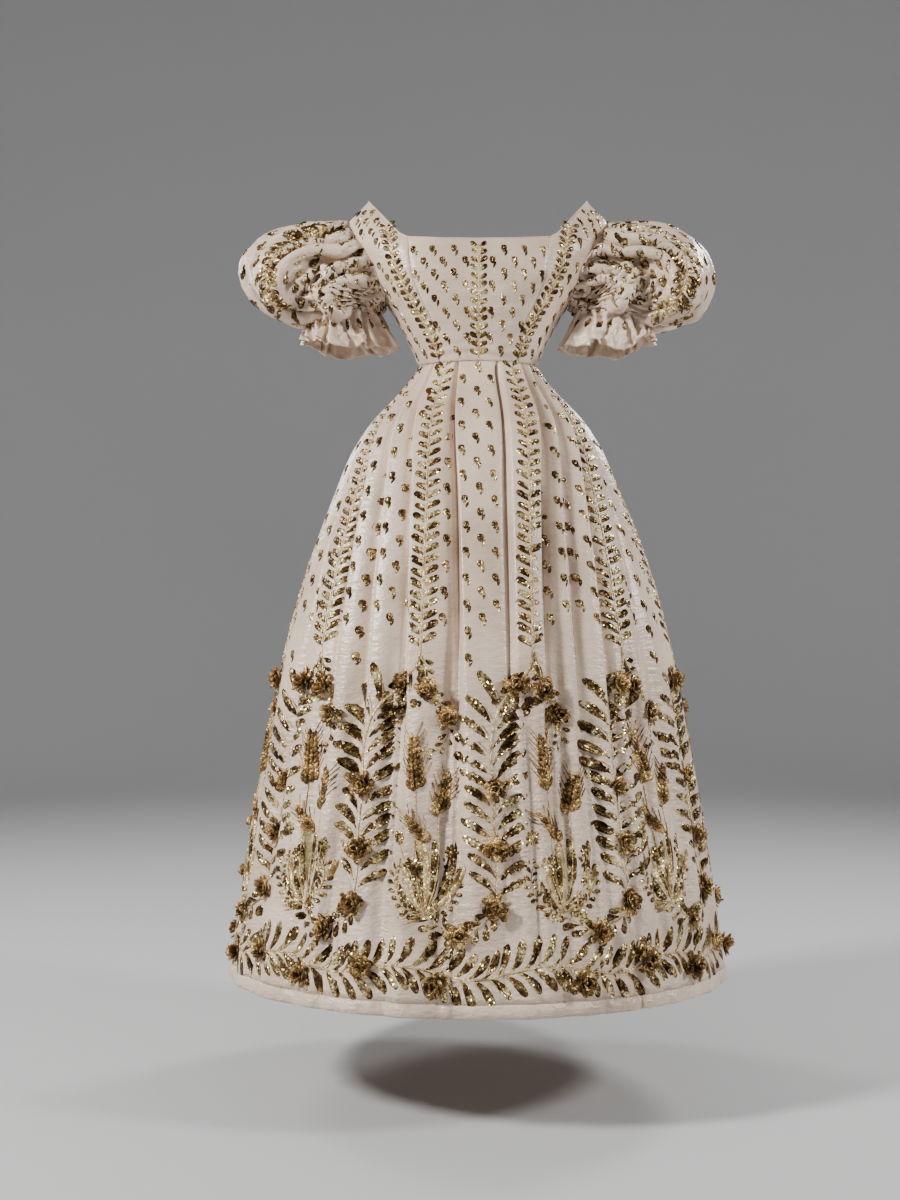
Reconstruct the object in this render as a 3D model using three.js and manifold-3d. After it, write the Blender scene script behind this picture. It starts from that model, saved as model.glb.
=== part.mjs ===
// A court dress of about 1825-30 in silk satin: fitted bodice with a wide neckline, two puffed
// sleeves ending in a frill, and a bell skirt pleated into the waist, with tufted flowers on its border.
// Millimetres, +Z up. The origin is the middle of the waist; the front faces -Y and the wearer's left
// is +X. The dress is hollow and keeps the form it has when it is worn.
import * as THREE from 'three';
import Module from 'manifold-3d';

const wasm = await Module();
wasm.setup();

// ---- driving sizes -----------------------------------------------------------------------------
const CLOTH = 1.8;                 // satin with the embroidery's backing
const SEAM_GAP = 0.3;
const HALF_GAP = SEAM_GAP / 2;
const BINDING = 3.4;               // height and thickness of the cord casing round the neck
const UNDERARM = 108;              // height of the armhole's lowest point
const SHOULDER_END = 250;          // height of the armhole's highest point
const NECK_FRONT_SEAM = 209;       // where the side front seams meet the neckline
const NECK_BACK = 210;             // neckline at the centre back
const HEM_SEAM = -1018;            // top of the padded hem
const HEM = -1041;                 // lowest edge of the dress
const HEM_BULGE = 3.2;             // how far the padded hem stands out
const SPREAD = 160;                // how fast the pleats fan out below the waist
const ARMHOLE_LEAD = 1.1;          // start of a sleeve outside the armhole's edge
const ROSETTES = 11;               // repeats of the border round the hem, each with its tufted flowers
const ROSETTE_RADIUS = 21;
const ROSETTE_RISE = 15;
const ROSETTE_SINK = 8;            // depth that is trimmed to the cloth
const ROSETTE_SIDES = 6;
const TRIM_CLEARANCE = 0.4;

// Rings of the bodice: half width, depth ahead and behind the side seams, squareness.
const bodiceRings = [
  { z: 0, half: 101, front: 83, back: 78, square: 2.0 },
  { z: 25, half: 112, front: 90, back: 83, square: 2.05 },
  { z: 52, half: 125, front: 99, back: 90, square: 2.1 },
  { z: 88, half: 144, front: 112, back: 99, square: 2.15 },
  { z: 108, half: 157, front: 117, back: 104, square: 2.2 },
  { z: 140, half: 179, front: 119, back: 109, square: 2.2 },
  { z: 167, half: 195, front: 115, back: 112, square: 2.2 },
  { z: 200, half: 212, front: 104, back: 110, square: 2.2 },
  { z: 225, half: 219, front: 84, back: 97, square: 2.2 },
  { z: 250, half: 221, front: 58, back: 72, square: 2.2 },
  { z: 270, half: 203, front: 33, back: 42, square: 2.2 },
  { z: 287, half: 187, front: 4, back: 4, square: 2.2 },
];

// Rings of the skirt, with the depth of its pleats, the width of their edges and a crown between them.
const skirtRings = [
  { z: 0, half: 101, front: 83, back: 78, pleat: 1.2, edge: 2, crown: 0 },
  { z: -18, half: 110, front: 89, back: 88, pleat: 4.5, edge: 3.5, crown: 0 },
  { z: -45, half: 130, front: 104, back: 112, pleat: 7, edge: 5, crown: 1 },
  { z: -85, half: 166, front: 131, back: 151, pleat: 9, edge: 7, crown: 2 },
  { z: -140, half: 202, front: 161, back: 195, pleat: 11, edge: 9, crown: 3 },
  { z: -220, half: 236, front: 189, back: 236, pleat: 12, edge: 12, crown: 4 },
  { z: -330, half: 279, front: 223, back: 285, pleat: 12, edge: 15, crown: 5 },
  { z: -470, half: 320, front: 257, back: 331, pleat: 11, edge: 20, crown: 5 },
  { z: -630, half: 354, front: 284, back: 367, pleat: 9, edge: 28, crown: 4 },
  { z: -800, half: 386, front: 309, back: 400, pleat: 7, edge: 36, crown: 3 },
  { z: -930, half: 407, front: 326, back: 420, pleat: 6, edge: 40, crown: 2 },
  { z: -1018, half: 419, front: 335, back: 432, pleat: 5, edge: 44, crown: 2 },
  { z: -1041, half: 421, front: 337, back: 434, pleat: 4, edge: 44, crown: 1 },
];

// Pleat edges in degrees from the centre front, positive to the wearer's left: at the waist, at the hem,
// and how high the cloth stands just before and just after the edge, in parts of the pleat's depth.
const pleatEdges = [
  { waist: -170, hem: -166, before: -0.5, after: 0.7 },
  { waist: -158, hem: -152, before: -0.5, after: 0.8 },
  { waist: -147, hem: -137, before: -0.7, after: 0.6 },
  { waist: -136, hem: -122, before: -0.5, after: 0.7 },
  { waist: -125, hem: -106, before: -0.6, after: 0.8 },
  { waist: -113, hem: -90, before: -0.5, after: 0.6 },
  { waist: -101, hem: -74, before: -0.6, after: 0.7 },
  { waist: -89, hem: -58, before: -0.5, after: 0.6 },
  { waist: -76, hem: -42, before: -0.7, after: 0.7 },
  { waist: -62, hem: -31, before: -0.6, after: 0.6 },
  { waist: -47, hem: -19, before: -0.5, after: 0.9 },
  { waist: -19.4, hem: -4.5, before: -0.2, after: 0.8 },
  { waist: 19.4, hem: 8.5, before: 0.1, after: 0.9 },
  { waist: 44, hem: 16, before: 1.0, after: -0.6 },
  { waist: 57, hem: 25, before: 0.6, after: -0.5 },
  { waist: 72, hem: 35, before: 0.7, after: -0.7 },
  { waist: 86, hem: 50, before: 0.6, after: -0.5 },
  { waist: 98, hem: 65, before: 0.7, after: -0.6 },
  { waist: 110, hem: 81, before: 0.6, after: -0.5 },
  { waist: 122, hem: 97, before: 0.8, after: -0.6 },
  { waist: 134, hem: 113, before: 0.7, after: -0.5 },
  { waist: 146, hem: 129, before: 0.6, after: -0.7 },
  { waist: 158, hem: 146, before: 0.8, after: -0.5 },
  { waist: 169, hem: 163, before: 0.7, after: -0.6 },
  { waist: 180, hem: 180, before: 0.6, after: 0.5 },
];
// The breadths of the skirt are seamed in the shelter of these pleat edges (rows of the table above).
const breadths = [
  { name: 'skirt_front', from: 8, to: 15 },
  { name: 'skirt_side_left', from: 15, to: 19 },
  { name: 'skirt_back_left', from: 19, to: 24 },
  { name: 'skirt_back_right', from: 24, to: 29 },
  { name: 'skirt_side_right', from: 29, to: 33 },
];

// Neckline and seams by their distance out from the middle of the dress.
const neckFront = [
  { x: 0, z: 202.6 }, { x: 60, z: 204 }, { x: 119, z: 209 }, { x: 132, z: 217 },
  { x: 147, z: 235 }, { x: 172, z: 268 }, { x: 187, z: 287 },
];
const neckBack = [
  { x: 0, z: 210 }, { x: 60, z: 213 }, { x: 100, z: 219 }, { x: 130, z: 228 },
  { x: 152, z: 246 }, { x: 173, z: 270 }, { x: 187, z: 287 },
];
const frontSeam = [
  { z: 0, x: 65 }, { z: 66, x: 78 }, { z: 103, x: 97 }, { z: 140, x: 111 }, { z: 209, x: 119 },
];
// The armhole by height: the angle of its front and back edges, in degrees from the centre front.
const armhole = [
  { z: 108, front: 90, back: 90 }, { z: 114, front: 80, back: 100 }, { z: 125, front: 74, back: 106 },
  { z: 140, front: 70, back: 110 }, { z: 167, front: 65, back: 114 }, { z: 200, front: 68, back: 112 },
  { z: 225, front: 75, back: 106 }, { z: 240, front: 81, back: 99 }, { z: 250, front: 90, back: 90 },
];
// Rings of a sleeve puff beyond the armhole: its outermost and innermost points, half its depth, and
// how deep its folds are there.
const puffRings = [
  { outX: 262, outZ: 257, inX: 162, inZ: 101, deep: 82, fold: 6 },
  { outX: 325, outZ: 254, inX: 165, inZ: 97, deep: 102, fold: 8 },
  { outX: 377, outZ: 229, inX: 167, inZ: 94, deep: 111, fold: 7 },
  { outX: 404, outZ: 188, inX: 169, inZ: 93, deep: 113, fold: 6 },
  { outX: 406, outZ: 150, inX: 171, inZ: 93, deep: 109, fold: 6 },
  { outX: 390, outZ: 111, inX: 173, inZ: 95, deep: 98, fold: 7 },
  { outX: 352, outZ: 84, inX: 175, inZ: 97, deep: 80, fold: 6 },
  { outX: 307, outZ: 79, inX: 177, inZ: 100, deep: 58, fold: 3 },
];
// Folds of a puff, by degrees round the sleeve from the shoulder point over the front, and their depth.
const puffFolds = [
  { at: 8, depth: 1.0 }, { at: 45, depth: 0.7 }, { at: 83, depth: 0.9 }, { at: 118, depth: 0.6 },
  { at: 160, depth: 1.0 }, { at: 201, depth: 0.8 }, { at: 243, depth: 0.6 }, { at: 284, depth: 1.0 },
  { at: 325, depth: 0.7 },
];
// Rings of a sleeve frill below the gathers, with the height of its waves outward and downward.
const frillRings = [
  { outX: 307, outZ: 77.5, inX: 177, inZ: 98.5, deep: 58, flare: 3, dip: 0 },
  { outX: 320, outZ: 55, inX: 160, inZ: 76, deep: 66, flare: 6, dip: 2 },
  { outX: 330, outZ: 22, inX: 142, inZ: 50, deep: 76, flare: 9, dip: 7 },
];

// ---- small tools -------------------------------------------------------------------------------
const degrees = THREE.MathUtils.degToRad;
const vector = (x, y, z) => new THREE.Vector3(x, y, z);

// The values of the named columns where the key column has the given value, between rows in a line.
function lookUp(rows, key, value, column) {
  const ascending = rows[rows.length - 1][key] > rows[0][key];
  const sorted = ascending ? rows : [...rows].reverse();
  let index = sorted.findIndex((row) => row[key] >= value);
  if (index < 0) index = sorted.length - 1;
  if (index === 0) index = 1;
  const [low, high] = [sorted[index - 1], sorted[index]];
  const share = THREE.MathUtils.clamp((value - low[key]) / (high[key] - low[key]), 0, 1);
  return THREE.MathUtils.lerp(low[column], high[column], share);
}

// A closed wall of cloth: faces[row][column] outside, backs[row][column] inside, open along each edge
// of the sheet or, when it is round, joined on itself sideways.
function wallGeometry(faces, backs, round) {
  const rowCount = faces.length;
  const columnCount = faces[0].length;
  const points = [...faces.flat(), ...backs.flat()];
  const outside = (row, column) => row * columnCount + (column % columnCount);
  const inside = (row, column) => rowCount * columnCount + outside(row, column);
  const triangles = [];
  const quad = (a, b, c, d) => triangles.push(a, b, c, a, c, d);
  const lastColumn = round ? columnCount : columnCount - 1;
  for (let row = 0; row + 1 < rowCount; row += 1) {
    for (let column = 0; column < lastColumn; column += 1) {
      quad(outside(row, column), outside(row, column + 1), outside(row + 1, column + 1), outside(row + 1, column));
      quad(inside(row, column + 1), inside(row, column), inside(row + 1, column), inside(row + 1, column + 1));
    }
  }
  const top = rowCount - 1;
  for (let column = 0; column < lastColumn; column += 1) {
    quad(inside(0, column), inside(0, column + 1), outside(0, column + 1), outside(0, column));
    quad(outside(top, column), outside(top, column + 1), inside(top, column + 1), inside(top, column));
  }
  for (let row = 0; row < top && !round; row += 1) {
    quad(inside(row, 0), outside(row, 0), outside(row + 1, 0), inside(row + 1, 0));
    quad(outside(row, lastColumn), inside(row, lastColumn), inside(row + 1, lastColumn), outside(row + 1, lastColumn));
  }
  return solidGeometry(points, triangles);
}

// Turns all faces round if the solid's volume comes out negative.
function solidGeometry(points, triangles) {
  let volume = 0;
  for (let k = 0; k < triangles.length; k += 3) {
    const [a, b, c] = [points[triangles[k]], points[triangles[k + 1]], points[triangles[k + 2]]];
    volume += a.dot(vector(0, 0, 0).crossVectors(b, c));
  }
  const turned = volume < 0 ? [...triangles].reverse() : triangles;
  const geometry = new THREE.BufferGeometry().setFromPoints(points);
  geometry.setIndex(turned);
  return geometry;
}

function toManifold(geometry) {
  const vertProperties = new Float32Array(geometry.attributes.position.array);
  const triVerts = new Uint32Array(geometry.index.array);
  return new wasm.Manifold(new wasm.Mesh({ numProp: 3, vertProperties, triVerts }));
}

// The triangles of a cut solid that hang together as its largest body; slivers are dropped.
function largestBody(triVerts, vertexCount) {
  const parent = Array.from({ length: vertexCount }, (unused, index) => index);
  const root = (index) => {
    let top = index;
    while (parent[top] !== top) top = parent[top];
    parent[index] = top;
    return top;
  };
  for (let k = 0; k < triVerts.length; k += 3) {
    parent[root(triVerts[k + 1])] = root(triVerts[k]);
    parent[root(triVerts[k + 2])] = root(triVerts[k]);
  }
  const sizes = new Map();
  for (let k = 0; k < triVerts.length; k += 3) {
    sizes.set(root(triVerts[k]), (sizes.get(root(triVerts[k])) ?? 0) + 1);
  }
  const [largest] = [...sizes].sort((a, b) => b[1] - a[1])[0];
  const kept = [];
  for (let k = 0; k < triVerts.length; k += 3) {
    if (root(triVerts[k]) === largest) kept.push(triVerts[k], triVerts[k + 1], triVerts[k + 2]);
  }
  return kept;
}

function fromManifold(solid) {
  const mesh = solid.getMesh();
  const geometry = new THREE.BufferGeometry();
  geometry.setAttribute('position', new THREE.BufferAttribute(mesh.vertProperties, 3));
  geometry.setIndex(largestBody(mesh.triVerts, mesh.vertProperties.length / 3));
  return geometry;
}

const satin = new THREE.MeshStandardMaterial({ color: 0xd8c9bf, roughness: 0.42, metalness: 0 });
const goldThread = new THREE.MeshStandardMaterial({ color: 0xa6823c, roughness: 0.38, metalness: 0.9 });
const group = new THREE.Group();

function addPiece(name, geometry, material) {
  const mesh = new THREE.Mesh(geometry, material);
  mesh.name = name;
  group.add(mesh);
}

// ---- bodice ------------------------------------------------------------------------------------
// A point of the bodice at an angle from the centre front and a height.
function bodicePoint(angle, z) {
  const half = lookUp(bodiceRings, 'z', z, 'half');
  const square = lookUp(bodiceRings, 'z', z, 'square');
  const ahead = Math.cos(angle);
  const aside = Math.sin(angle);
  const deep = lookUp(bodiceRings, 'z', z, ahead > 0 ? 'front' : 'back');
  const x = half * Math.sign(aside) * Math.abs(aside) ** (2 / square);
  const y = -deep * Math.sign(ahead) * Math.abs(ahead) ** (2 / square);
  return vector(x, y, z);
}

// The outward direction of the bodice there.
function bodiceNormal(angle, z) {
  const step = 0.02;
  const around = bodicePoint(angle + step, z).sub(bodicePoint(angle - step, z));
  const rise = bodicePoint(angle, z + 2).sub(bodicePoint(angle, z - 2));
  return vector(0, 0, 0).crossVectors(around, rise).normalize();
}

// The angle at which the bodice is that far out from the middle of the dress.
function bodiceAngle(x, z) {
  const half = lookUp(bodiceRings, 'z', z, 'half');
  const square = lookUp(bodiceRings, 'z', z, 'square');
  return Math.asin(Math.min(1, Math.abs(x) / half) ** (square / 2));
}

function bodicePanel(name, places) {
  const faces = places.map((row) => row.map(([angle, z]) => bodicePoint(angle, z)));
  const backs = places.map((row, j) => row.map(([angle, z], i) => (
    faces[j][i].clone().addScaledVector(bodiceNormal(angle, z), -CLOTH))));
  const panel = toManifold(wallGeometry(faces, backs, false)).subtract(neckTrimmer);
  addPiece(name, fromManifold(panel), satin);
}

const steps = (count) => Array.from({ length: count + 1 }, (unused, index) => index / count);

const lowRows = [HALF_GAP, 28, 58, 88, 108, 116, 127, 142, 160, 180, NECK_FRONT_SEAM];
const sideRows = [...lowRows, 214, 228, 240, 250, 268, 282];

function bodiceFront() {
  const widest = neckFront[2].x;
  const rows = lowRows.map((seamZ) => steps(8).map((across) => {
    const side = 2 * across - 1;
    const top = lookUp(neckFront, 'x', Math.abs(side) * widest, 'z');
    const seam = bodiceAngle(lookUp(frontSeam, 'z', seamZ, 'x') - HALF_GAP, seamZ);
    return [side * seam, seamZ * top / NECK_FRONT_SEAM];
  }));
  bodicePanel('bodice_front', rows);
}

// The edge of a side or back panel towards the arm: side seam, armhole, shoulder seam.
function armEdge(z, part) {
  const side = part === 'front' ? -1 : 1;
  if (z > UNDERARM && z < SHOULDER_END) return degrees(lookUp(armhole, 'z', z, part));
  const deep = lookUp(bodiceRings, 'z', z, part);
  const square = lookUp(bodiceRings, 'z', z, 'square');
  return Math.PI / 2 + side * Math.asin((HALF_GAP / deep) ** (square / 2));
}

function bodiceSideFront(name, side) {
  const rows = sideRows.map((z) => {
    const seam = lookUp(frontSeam, 'z', z, 'x') + HALF_GAP;
    const from = bodiceAngle(z > NECK_FRONT_SEAM ? lookUp(neckFront, 'z', z, 'x') : seam, z);
    const to = armEdge(z, 'front');
    return steps(4).map((across) => [side * THREE.MathUtils.lerp(from, to, across), z]);
  });
  bodicePanel(name, rows);
}

function bodiceBack(name, side) {
  const rows = sideRows.map((z) => {
    const from = armEdge(z, 'back');
    const to = Math.PI - bodiceAngle(z > NECK_BACK ? lookUp(neckBack, 'z', z, 'x') : HALF_GAP, z);
    return steps(6).map((across) => [side * THREE.MathUtils.lerp(from, to, across), z]);
  });
  bodicePanel(name, rows);
}

// A band along the neckline between two heights across it and two distances out from the cloth.
function neckBand({ low, high, outer, inner }) {
  const half = [
    ...[0, 30, 60, 90, 119, 126, 132, 140, 147, 160, 172, 179, 183.5, 186].map((x) => ({ x, part: 'front' })),
    ...[187, 186, 183.5, 179, 173, 163, 152, 142, 130, 115, 100, 80, 60, 30].map((x) => ({ x, part: 'back' })),
  ];
  const place = ({ x, part }, side) => {
    const z = lookUp(part === 'front' ? neckFront : neckBack, 'x', x, 'z');
    const angle = bodiceAngle(x, z);
    return { angle: side * (part === 'front' ? angle : Math.PI - angle), z };
  };
  const back = { angle: Math.PI, z: NECK_BACK };
  const route = [...half.map((row) => place(row, 1)), back, ...half.slice(1).reverse().map((row) => place(row, -1))];
  const points = route.map(({ angle, z }) => bodicePoint(angle, z));
  const frames = route.map(({ angle, z }, index) => {
    const next = points[(index + 1) % points.length];
    const last = points[(index + points.length - 1) % points.length];
    const out = bodiceNormal(angle, z);
    return { out, up: out.clone().cross(next.clone().sub(last)).normalize() };
  });
  const layer = (away) => [low, high].map((height) => points.map((point, index) => (
    point.clone().addScaledVector(frames[index].up, height).addScaledVector(frames[index].out, away))));
  return wallGeometry(layer(outer), layer(inner), true);
}

// What the panels lose along the neckline, to end just under the casing.
const neckCut = { low: -BINDING - 2 * SEAM_GAP, high: 7, outer: 3, inner: -4.5 };

// The corded casing that finishes the neckline.
function neckBinding() {
  const proud = (BINDING - CLOTH) / 2;
  const section = { low: -BINDING, high: 0, outer: proud, inner: proud - BINDING };
  addPiece('neck_binding', neckBand(section), satin);
}

// ---- skirt -------------------------------------------------------------------------------------
// Columns of the skirt: two for each pleat edge, close together, and one on the cloth between edges.
function skirtColumns() {
  const columns = [];
  pleatEdges.forEach((edge, index) => {
    const next = pleatEdges[(index + 1) % pleatEdges.length];
    const turn = index + 1 === pleatEdges.length ? 360 : 0;
    columns.push({ waist: edge.waist, hem: edge.hem, height: edge.before, side: -1, crown: 0, edge: index });
    columns.push({ waist: edge.waist, hem: edge.hem, height: edge.after, side: 1, crown: 0, edge: index });
    columns.push({
      waist: (edge.waist + next.waist + turn) / 2,
      hem: (edge.hem + next.hem + turn) / 2,
      height: (edge.after + next.before) / 2,
      side: 0,
      crown: 1,
      edge: index,
    });
  });
  return columns;
}

// A point of the skirt on one column at a height, moved sideways by shift and outwards by lift.
function skirtPoint(column, z, shift, lift) {
  const ring = (name) => lookUp(skirtRings, 'z', z, name);
  const fan = Math.exp(z / SPREAD);
  const middle = degrees(THREE.MathUtils.lerp(column.hem, column.waist, fan));
  const angle = middle + (column.side * ring('edge') / 2 + shift) / ring('half');
  const base = vector(
    ring('half') * Math.sin(angle),
    -(Math.cos(angle) > 0 ? ring('front') : ring('back')) * Math.cos(angle),
    0,
  );
  const relief = column.height * ring('pleat') + column.crown * ring('crown') + lift;
  return base.setLength(base.length() + relief).setZ(z);
}

const skirtRows = [HEM_SEAM + HALF_GAP, -930, -800, -630, -470, -330, -220, -140, -85, -45, -18, -HALF_GAP];
const columns = skirtColumns();

// The columns of one breadth, with the edge it starts at and the edge it ends at.
function breadthColumns({ from, to }) {
  const count = columns.length;
  const first = 3 * from;
  const last = 3 * to;
  const chosen = [];
  for (let index = first; index <= last; index += 1) {
    const turn = 360 * Math.floor(index / count);
    const column = columns[index % count];
    const shift = index === first ? HALF_GAP : index === last ? -HALF_GAP : 0;
    chosen.push({ ...column, waist: column.waist + turn, hem: column.hem + turn, shift });
  }
  return chosen;
}

function skirtWall(chosen, rows, outLift, inLift, round) {
  const layer = (lift) => rows.map((z) => chosen.map((column) => skirtPoint(column, z, column.shift ?? 0, lift)));
  return wallGeometry(layer(outLift), layer(inLift), round);
}

function skirtBreadths() {
  breadths.forEach((breadth) => {
    addPiece(breadth.name, skirtWall(breadthColumns(breadth), skirtRows, 0, -CLOTH, false), satin);
  });
}

// The padded hem: a roll below the skirt's lower seam.
function paddedHem() {
  const section = [
    { z: HEM, lift: 0.5 }, { z: HEM + 8, lift: HEM_BULGE }, { z: HEM_SEAM - HALF_GAP, lift: 0 },
  ];
  const layer = (thick) => section.map(({ z, lift }) => (
    columns.map((column) => skirtPoint(column, z, 0, thick ? -CLOTH - lift / 2 : lift))));
  addPiece('hem_roll', wallGeometry(layer(false), layer(true), true), satin);
}

// ---- sleeves -----------------------------------------------------------------------------------
const sleeveAngles = puffFolds.flatMap((fold, index) => {
  const next = puffFolds[(index + 1) % puffFolds.length];
  const gap = (next.at + (index + 1 === puffFolds.length ? 360 : 0)) - fold.at;
  return [
    { at: fold.at, relief: -fold.depth },
    { at: fold.at + 0.33 * gap, relief: 0.6 },
    { at: fold.at + 0.67 * gap, relief: 0.6 },
  ];
});

// The armhole's edge as a ring, from the shoulder point over the front to the underarm and back.
function armholePoint(turn) {
  const z = THREE.MathUtils.lerp(UNDERARM, SHOULDER_END, (1 + Math.cos(turn)) / 2);
  const part = Math.sin(turn) > 0 ? 'front' : 'back';
  const point = bodicePoint(degrees(lookUp(armhole, 'z', z, part)), z);
  return point.add(vector(ARMHOLE_LEAD, 0, 0.4 * ARMHOLE_LEAD * Math.cos(turn)));
}

// Folds are shallow on the short side of the sleeve, under the arm.
const foldShare = (turn) => 0.35 + 0.65 * (1 + Math.cos(turn)) / 2;

// An oval ring between its outermost and innermost points.
function sleevePoint(ring, turn, reach) {
  const out = vector(ring.outX, 0, ring.outZ);
  const middle = vector(ring.inX, 0, ring.inZ).add(out).multiplyScalar(0.5);
  const along = out.clone().sub(middle);
  const point = middle.clone().addScaledVector(along, Math.cos(turn));
  point.y = -ring.deep * Math.sin(turn);
  const away = point.clone().sub(middle).normalize();
  return point.addScaledVector(away, reach);
}

function mirrored(rows, side) {
  return rows.map((row) => row.map((point) => vector(side * point.x, point.y, point.z)));
}

// The inner skin of a sleeve wall: each point moved in along the sheet's own normal.
function sleeveBacks(faces) {
  const count = faces[0].length;
  return faces.map((row, j) => row.map((point, i) => {
    const around = row[(i + 1) % count].clone().sub(row[(i + count - 1) % count]);
    const above = faces[Math.min(j + 1, faces.length - 1)][i];
    const below = faces[Math.max(j - 1, 0)][i];
    const normal = vector(0, 0, 0).crossVectors(around, above.clone().sub(below)).normalize();
    return point.clone().addScaledVector(normal, -CLOTH);
  }));
}

function sleevePuff(name, side) {
  const first = sleeveAngles.map(({ at }) => armholePoint(degrees(at)));
  const rest = puffRings.map((ring) => sleeveAngles.map(({ at, relief }) => (
    sleevePoint(ring, degrees(at), relief * ring.fold * foldShare(degrees(at))))));
  const faces = [first, ...rest];
  addPiece(name, wallGeometry(mirrored(faces, side), mirrored(sleeveBacks(faces), side), true), satin);
}

function sleeveFrill(name, side) {
  const faces = frillRings.map((ring) => sleeveAngles.map(({ at, relief }) => {
    const point = sleevePoint(ring, degrees(at), relief * ring.flare * foldShare(degrees(at)));
    return point.add(vector(0, 0, -relief * ring.dip));
  }));
  addPiece(name, wallGeometry(mirrored(faces, side), mirrored(sleeveBacks(faces), side), true), satin);
}

// ---- tufted flowers on the border --------------------------------------------------------------
// A low dome on a spot of the skirt, its axis along the outward direction there.
function domeGeometry(spot, out) {
  const side = vector(0, 0, 1).cross(out).normalize();
  const up = out.clone().cross(side);
  const section = [
    { radius: 0.9 * ROSETTE_RADIUS, rise: -ROSETTE_SINK },
    { radius: ROSETTE_RADIUS, rise: 0.3 * ROSETTE_RISE },
    { radius: 0.6 * ROSETTE_RADIUS, rise: 0.9 * ROSETTE_RISE },
  ];
  const points = section.flatMap(({ radius, rise }) => steps(ROSETTE_SIDES).slice(1).map((share) => {
    const turn = 2 * Math.PI * share;
    return spot.clone().addScaledVector(out, rise)
      .addScaledVector(side, radius * Math.cos(turn)).addScaledVector(up, radius * Math.sin(turn));
  }));
  points.push(spot.clone().addScaledVector(out, -ROSETTE_SINK), spot.clone().addScaledVector(out, ROSETTE_RISE));
  const [foot, crown] = [points.length - 2, points.length - 1];
  const last = (section.length - 1) * ROSETTE_SIDES;
  const triangles = [];
  for (let k = 0; k < ROSETTE_SIDES; k += 1) {
    const next = (k + 1) % ROSETTE_SIDES;
    triangles.push(foot, next, k, crown, last + k, last + next);
    for (let ring = 0; ring < last; ring += ROSETTE_SIDES) {
      triangles.push(ring + k, ring + next, ring + ROSETTE_SIDES + next);
      triangles.push(ring + k, ring + ROSETTE_SIDES + next, ring + ROSETTE_SIDES + k);
    }
  }
  return solidGeometry(points, triangles);
}

// Rows of tufted flowers: height, and the turn of the first one from the centre front in degrees.
const flowerRows = [
  { name: 'hem_rosette', z: -990, first: -10 },
  { name: 'frond_rosette', z: -600, first: 3 },
];

function tuftedFlowers() {
  const trimmer = toManifold(skirtWall(columns, skirtRows, TRIM_CLEARANCE, -5 * ROSETTE_SINK, true));
  flowerRows.forEach(({ name, z, first }) => {
    for (let index = 0; index < ROSETTES; index += 1) {
      const turn = first + 360 * index / ROSETTES;
      const angle = Math.atan2(Math.sin(degrees(turn)), Math.cos(degrees(turn)));
      const half = lookUp(skirtRings, 'z', z, 'half');
      const deep = lookUp(skirtRings, 'z', z, Math.cos(angle) > 0 ? 'front' : 'back');
      const spot = vector(half * Math.sin(angle), -deep * Math.cos(angle), z);
      const out = vector(spot.x / half ** 2, spot.y / deep ** 2, 0).normalize();
      spot.addScaledVector(out, 0.4 * lookUp(skirtRings, 'z', z, 'pleat'));
      const dome = toManifold(domeGeometry(spot, out)).subtract(trimmer);
      addPiece(`${name}_${String(index + 1).padStart(2, '0')}`, fromManifold(dome), goldThread);
    }
  });
}

const neckTrimmer = toManifold(neckBand(neckCut));
bodiceFront();
bodiceSideFront('bodice_side_front_left', 1);
bodiceSideFront('bodice_side_front_right', -1);
bodiceBack('bodice_back_left', 1);
bodiceBack('bodice_back_right', -1);
neckBinding();
skirtBreadths();
paddedHem();
sleevePuff('sleeve_puff_left', 1);
sleevePuff('sleeve_puff_right', -1);
sleeveFrill('sleeve_frill_left', 1);
sleeveFrill('sleeve_frill_right', -1);
tuftedFlowers();

export default group;
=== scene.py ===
"""A court dress of about 1825-30: ivory-pink silk satin embroidered in gold, as worn, with no wearer."""
import math

import bpy
import numpy as np
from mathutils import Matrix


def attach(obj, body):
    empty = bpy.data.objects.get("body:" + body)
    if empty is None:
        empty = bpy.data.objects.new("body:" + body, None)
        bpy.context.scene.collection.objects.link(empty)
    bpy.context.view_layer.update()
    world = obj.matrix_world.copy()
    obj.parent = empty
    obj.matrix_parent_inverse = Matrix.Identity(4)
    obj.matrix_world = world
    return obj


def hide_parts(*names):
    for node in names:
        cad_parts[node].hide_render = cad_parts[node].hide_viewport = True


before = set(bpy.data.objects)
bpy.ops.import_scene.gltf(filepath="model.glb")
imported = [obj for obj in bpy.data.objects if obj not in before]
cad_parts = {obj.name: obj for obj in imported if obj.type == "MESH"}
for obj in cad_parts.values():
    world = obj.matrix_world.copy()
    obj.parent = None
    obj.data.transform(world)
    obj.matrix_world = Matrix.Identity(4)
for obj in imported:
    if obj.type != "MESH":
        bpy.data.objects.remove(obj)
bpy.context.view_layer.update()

MM = 0.001


def table(names, *rows):
    """The rows of a table, each with its values by name."""
    return [dict(zip(names.split(), row)) for row in rows]


# ---- driving sizes, in millimetres ----------------------------------------------------------------
CLOTH = 1.6                # satin and its backing
SEAM_GAP = 0.3
BINDING = 3.4              # the casing round the neck
UNDERARM = 108
SHOULDER_END = 250
NECK_FRONT_SEAM = 209
NECK_BACK = 210
HEM_SEAM = -1018
SPREAD = 160               # how fast the pleats fan out below the waist
FLOOR = -1236              # the floor is this far below the waist
BAYS = 11                  # repeats of the border round the hem
BAY = 360 / BAYS
FROND_TURN = 3             # the first frond, in degrees from the centre front
PUFF_START = 0.88          # the puff is cut to swell out from a smaller form
PUFF_DRAW = (210, 0.81)    # beyond this distance from the middle, the puff is drawn in by this share
FOLD_RIDGE = 1.3           # how much the starting folds stand out again once the cloth has settled
SLEEVE_COLUMNS = 98
DRAPE_FRAMES = 9
SPRIG_RISE = 21.0          # rows and columns of the skirt's sprigs
SPRIG_COLUMN = 22.5

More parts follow.
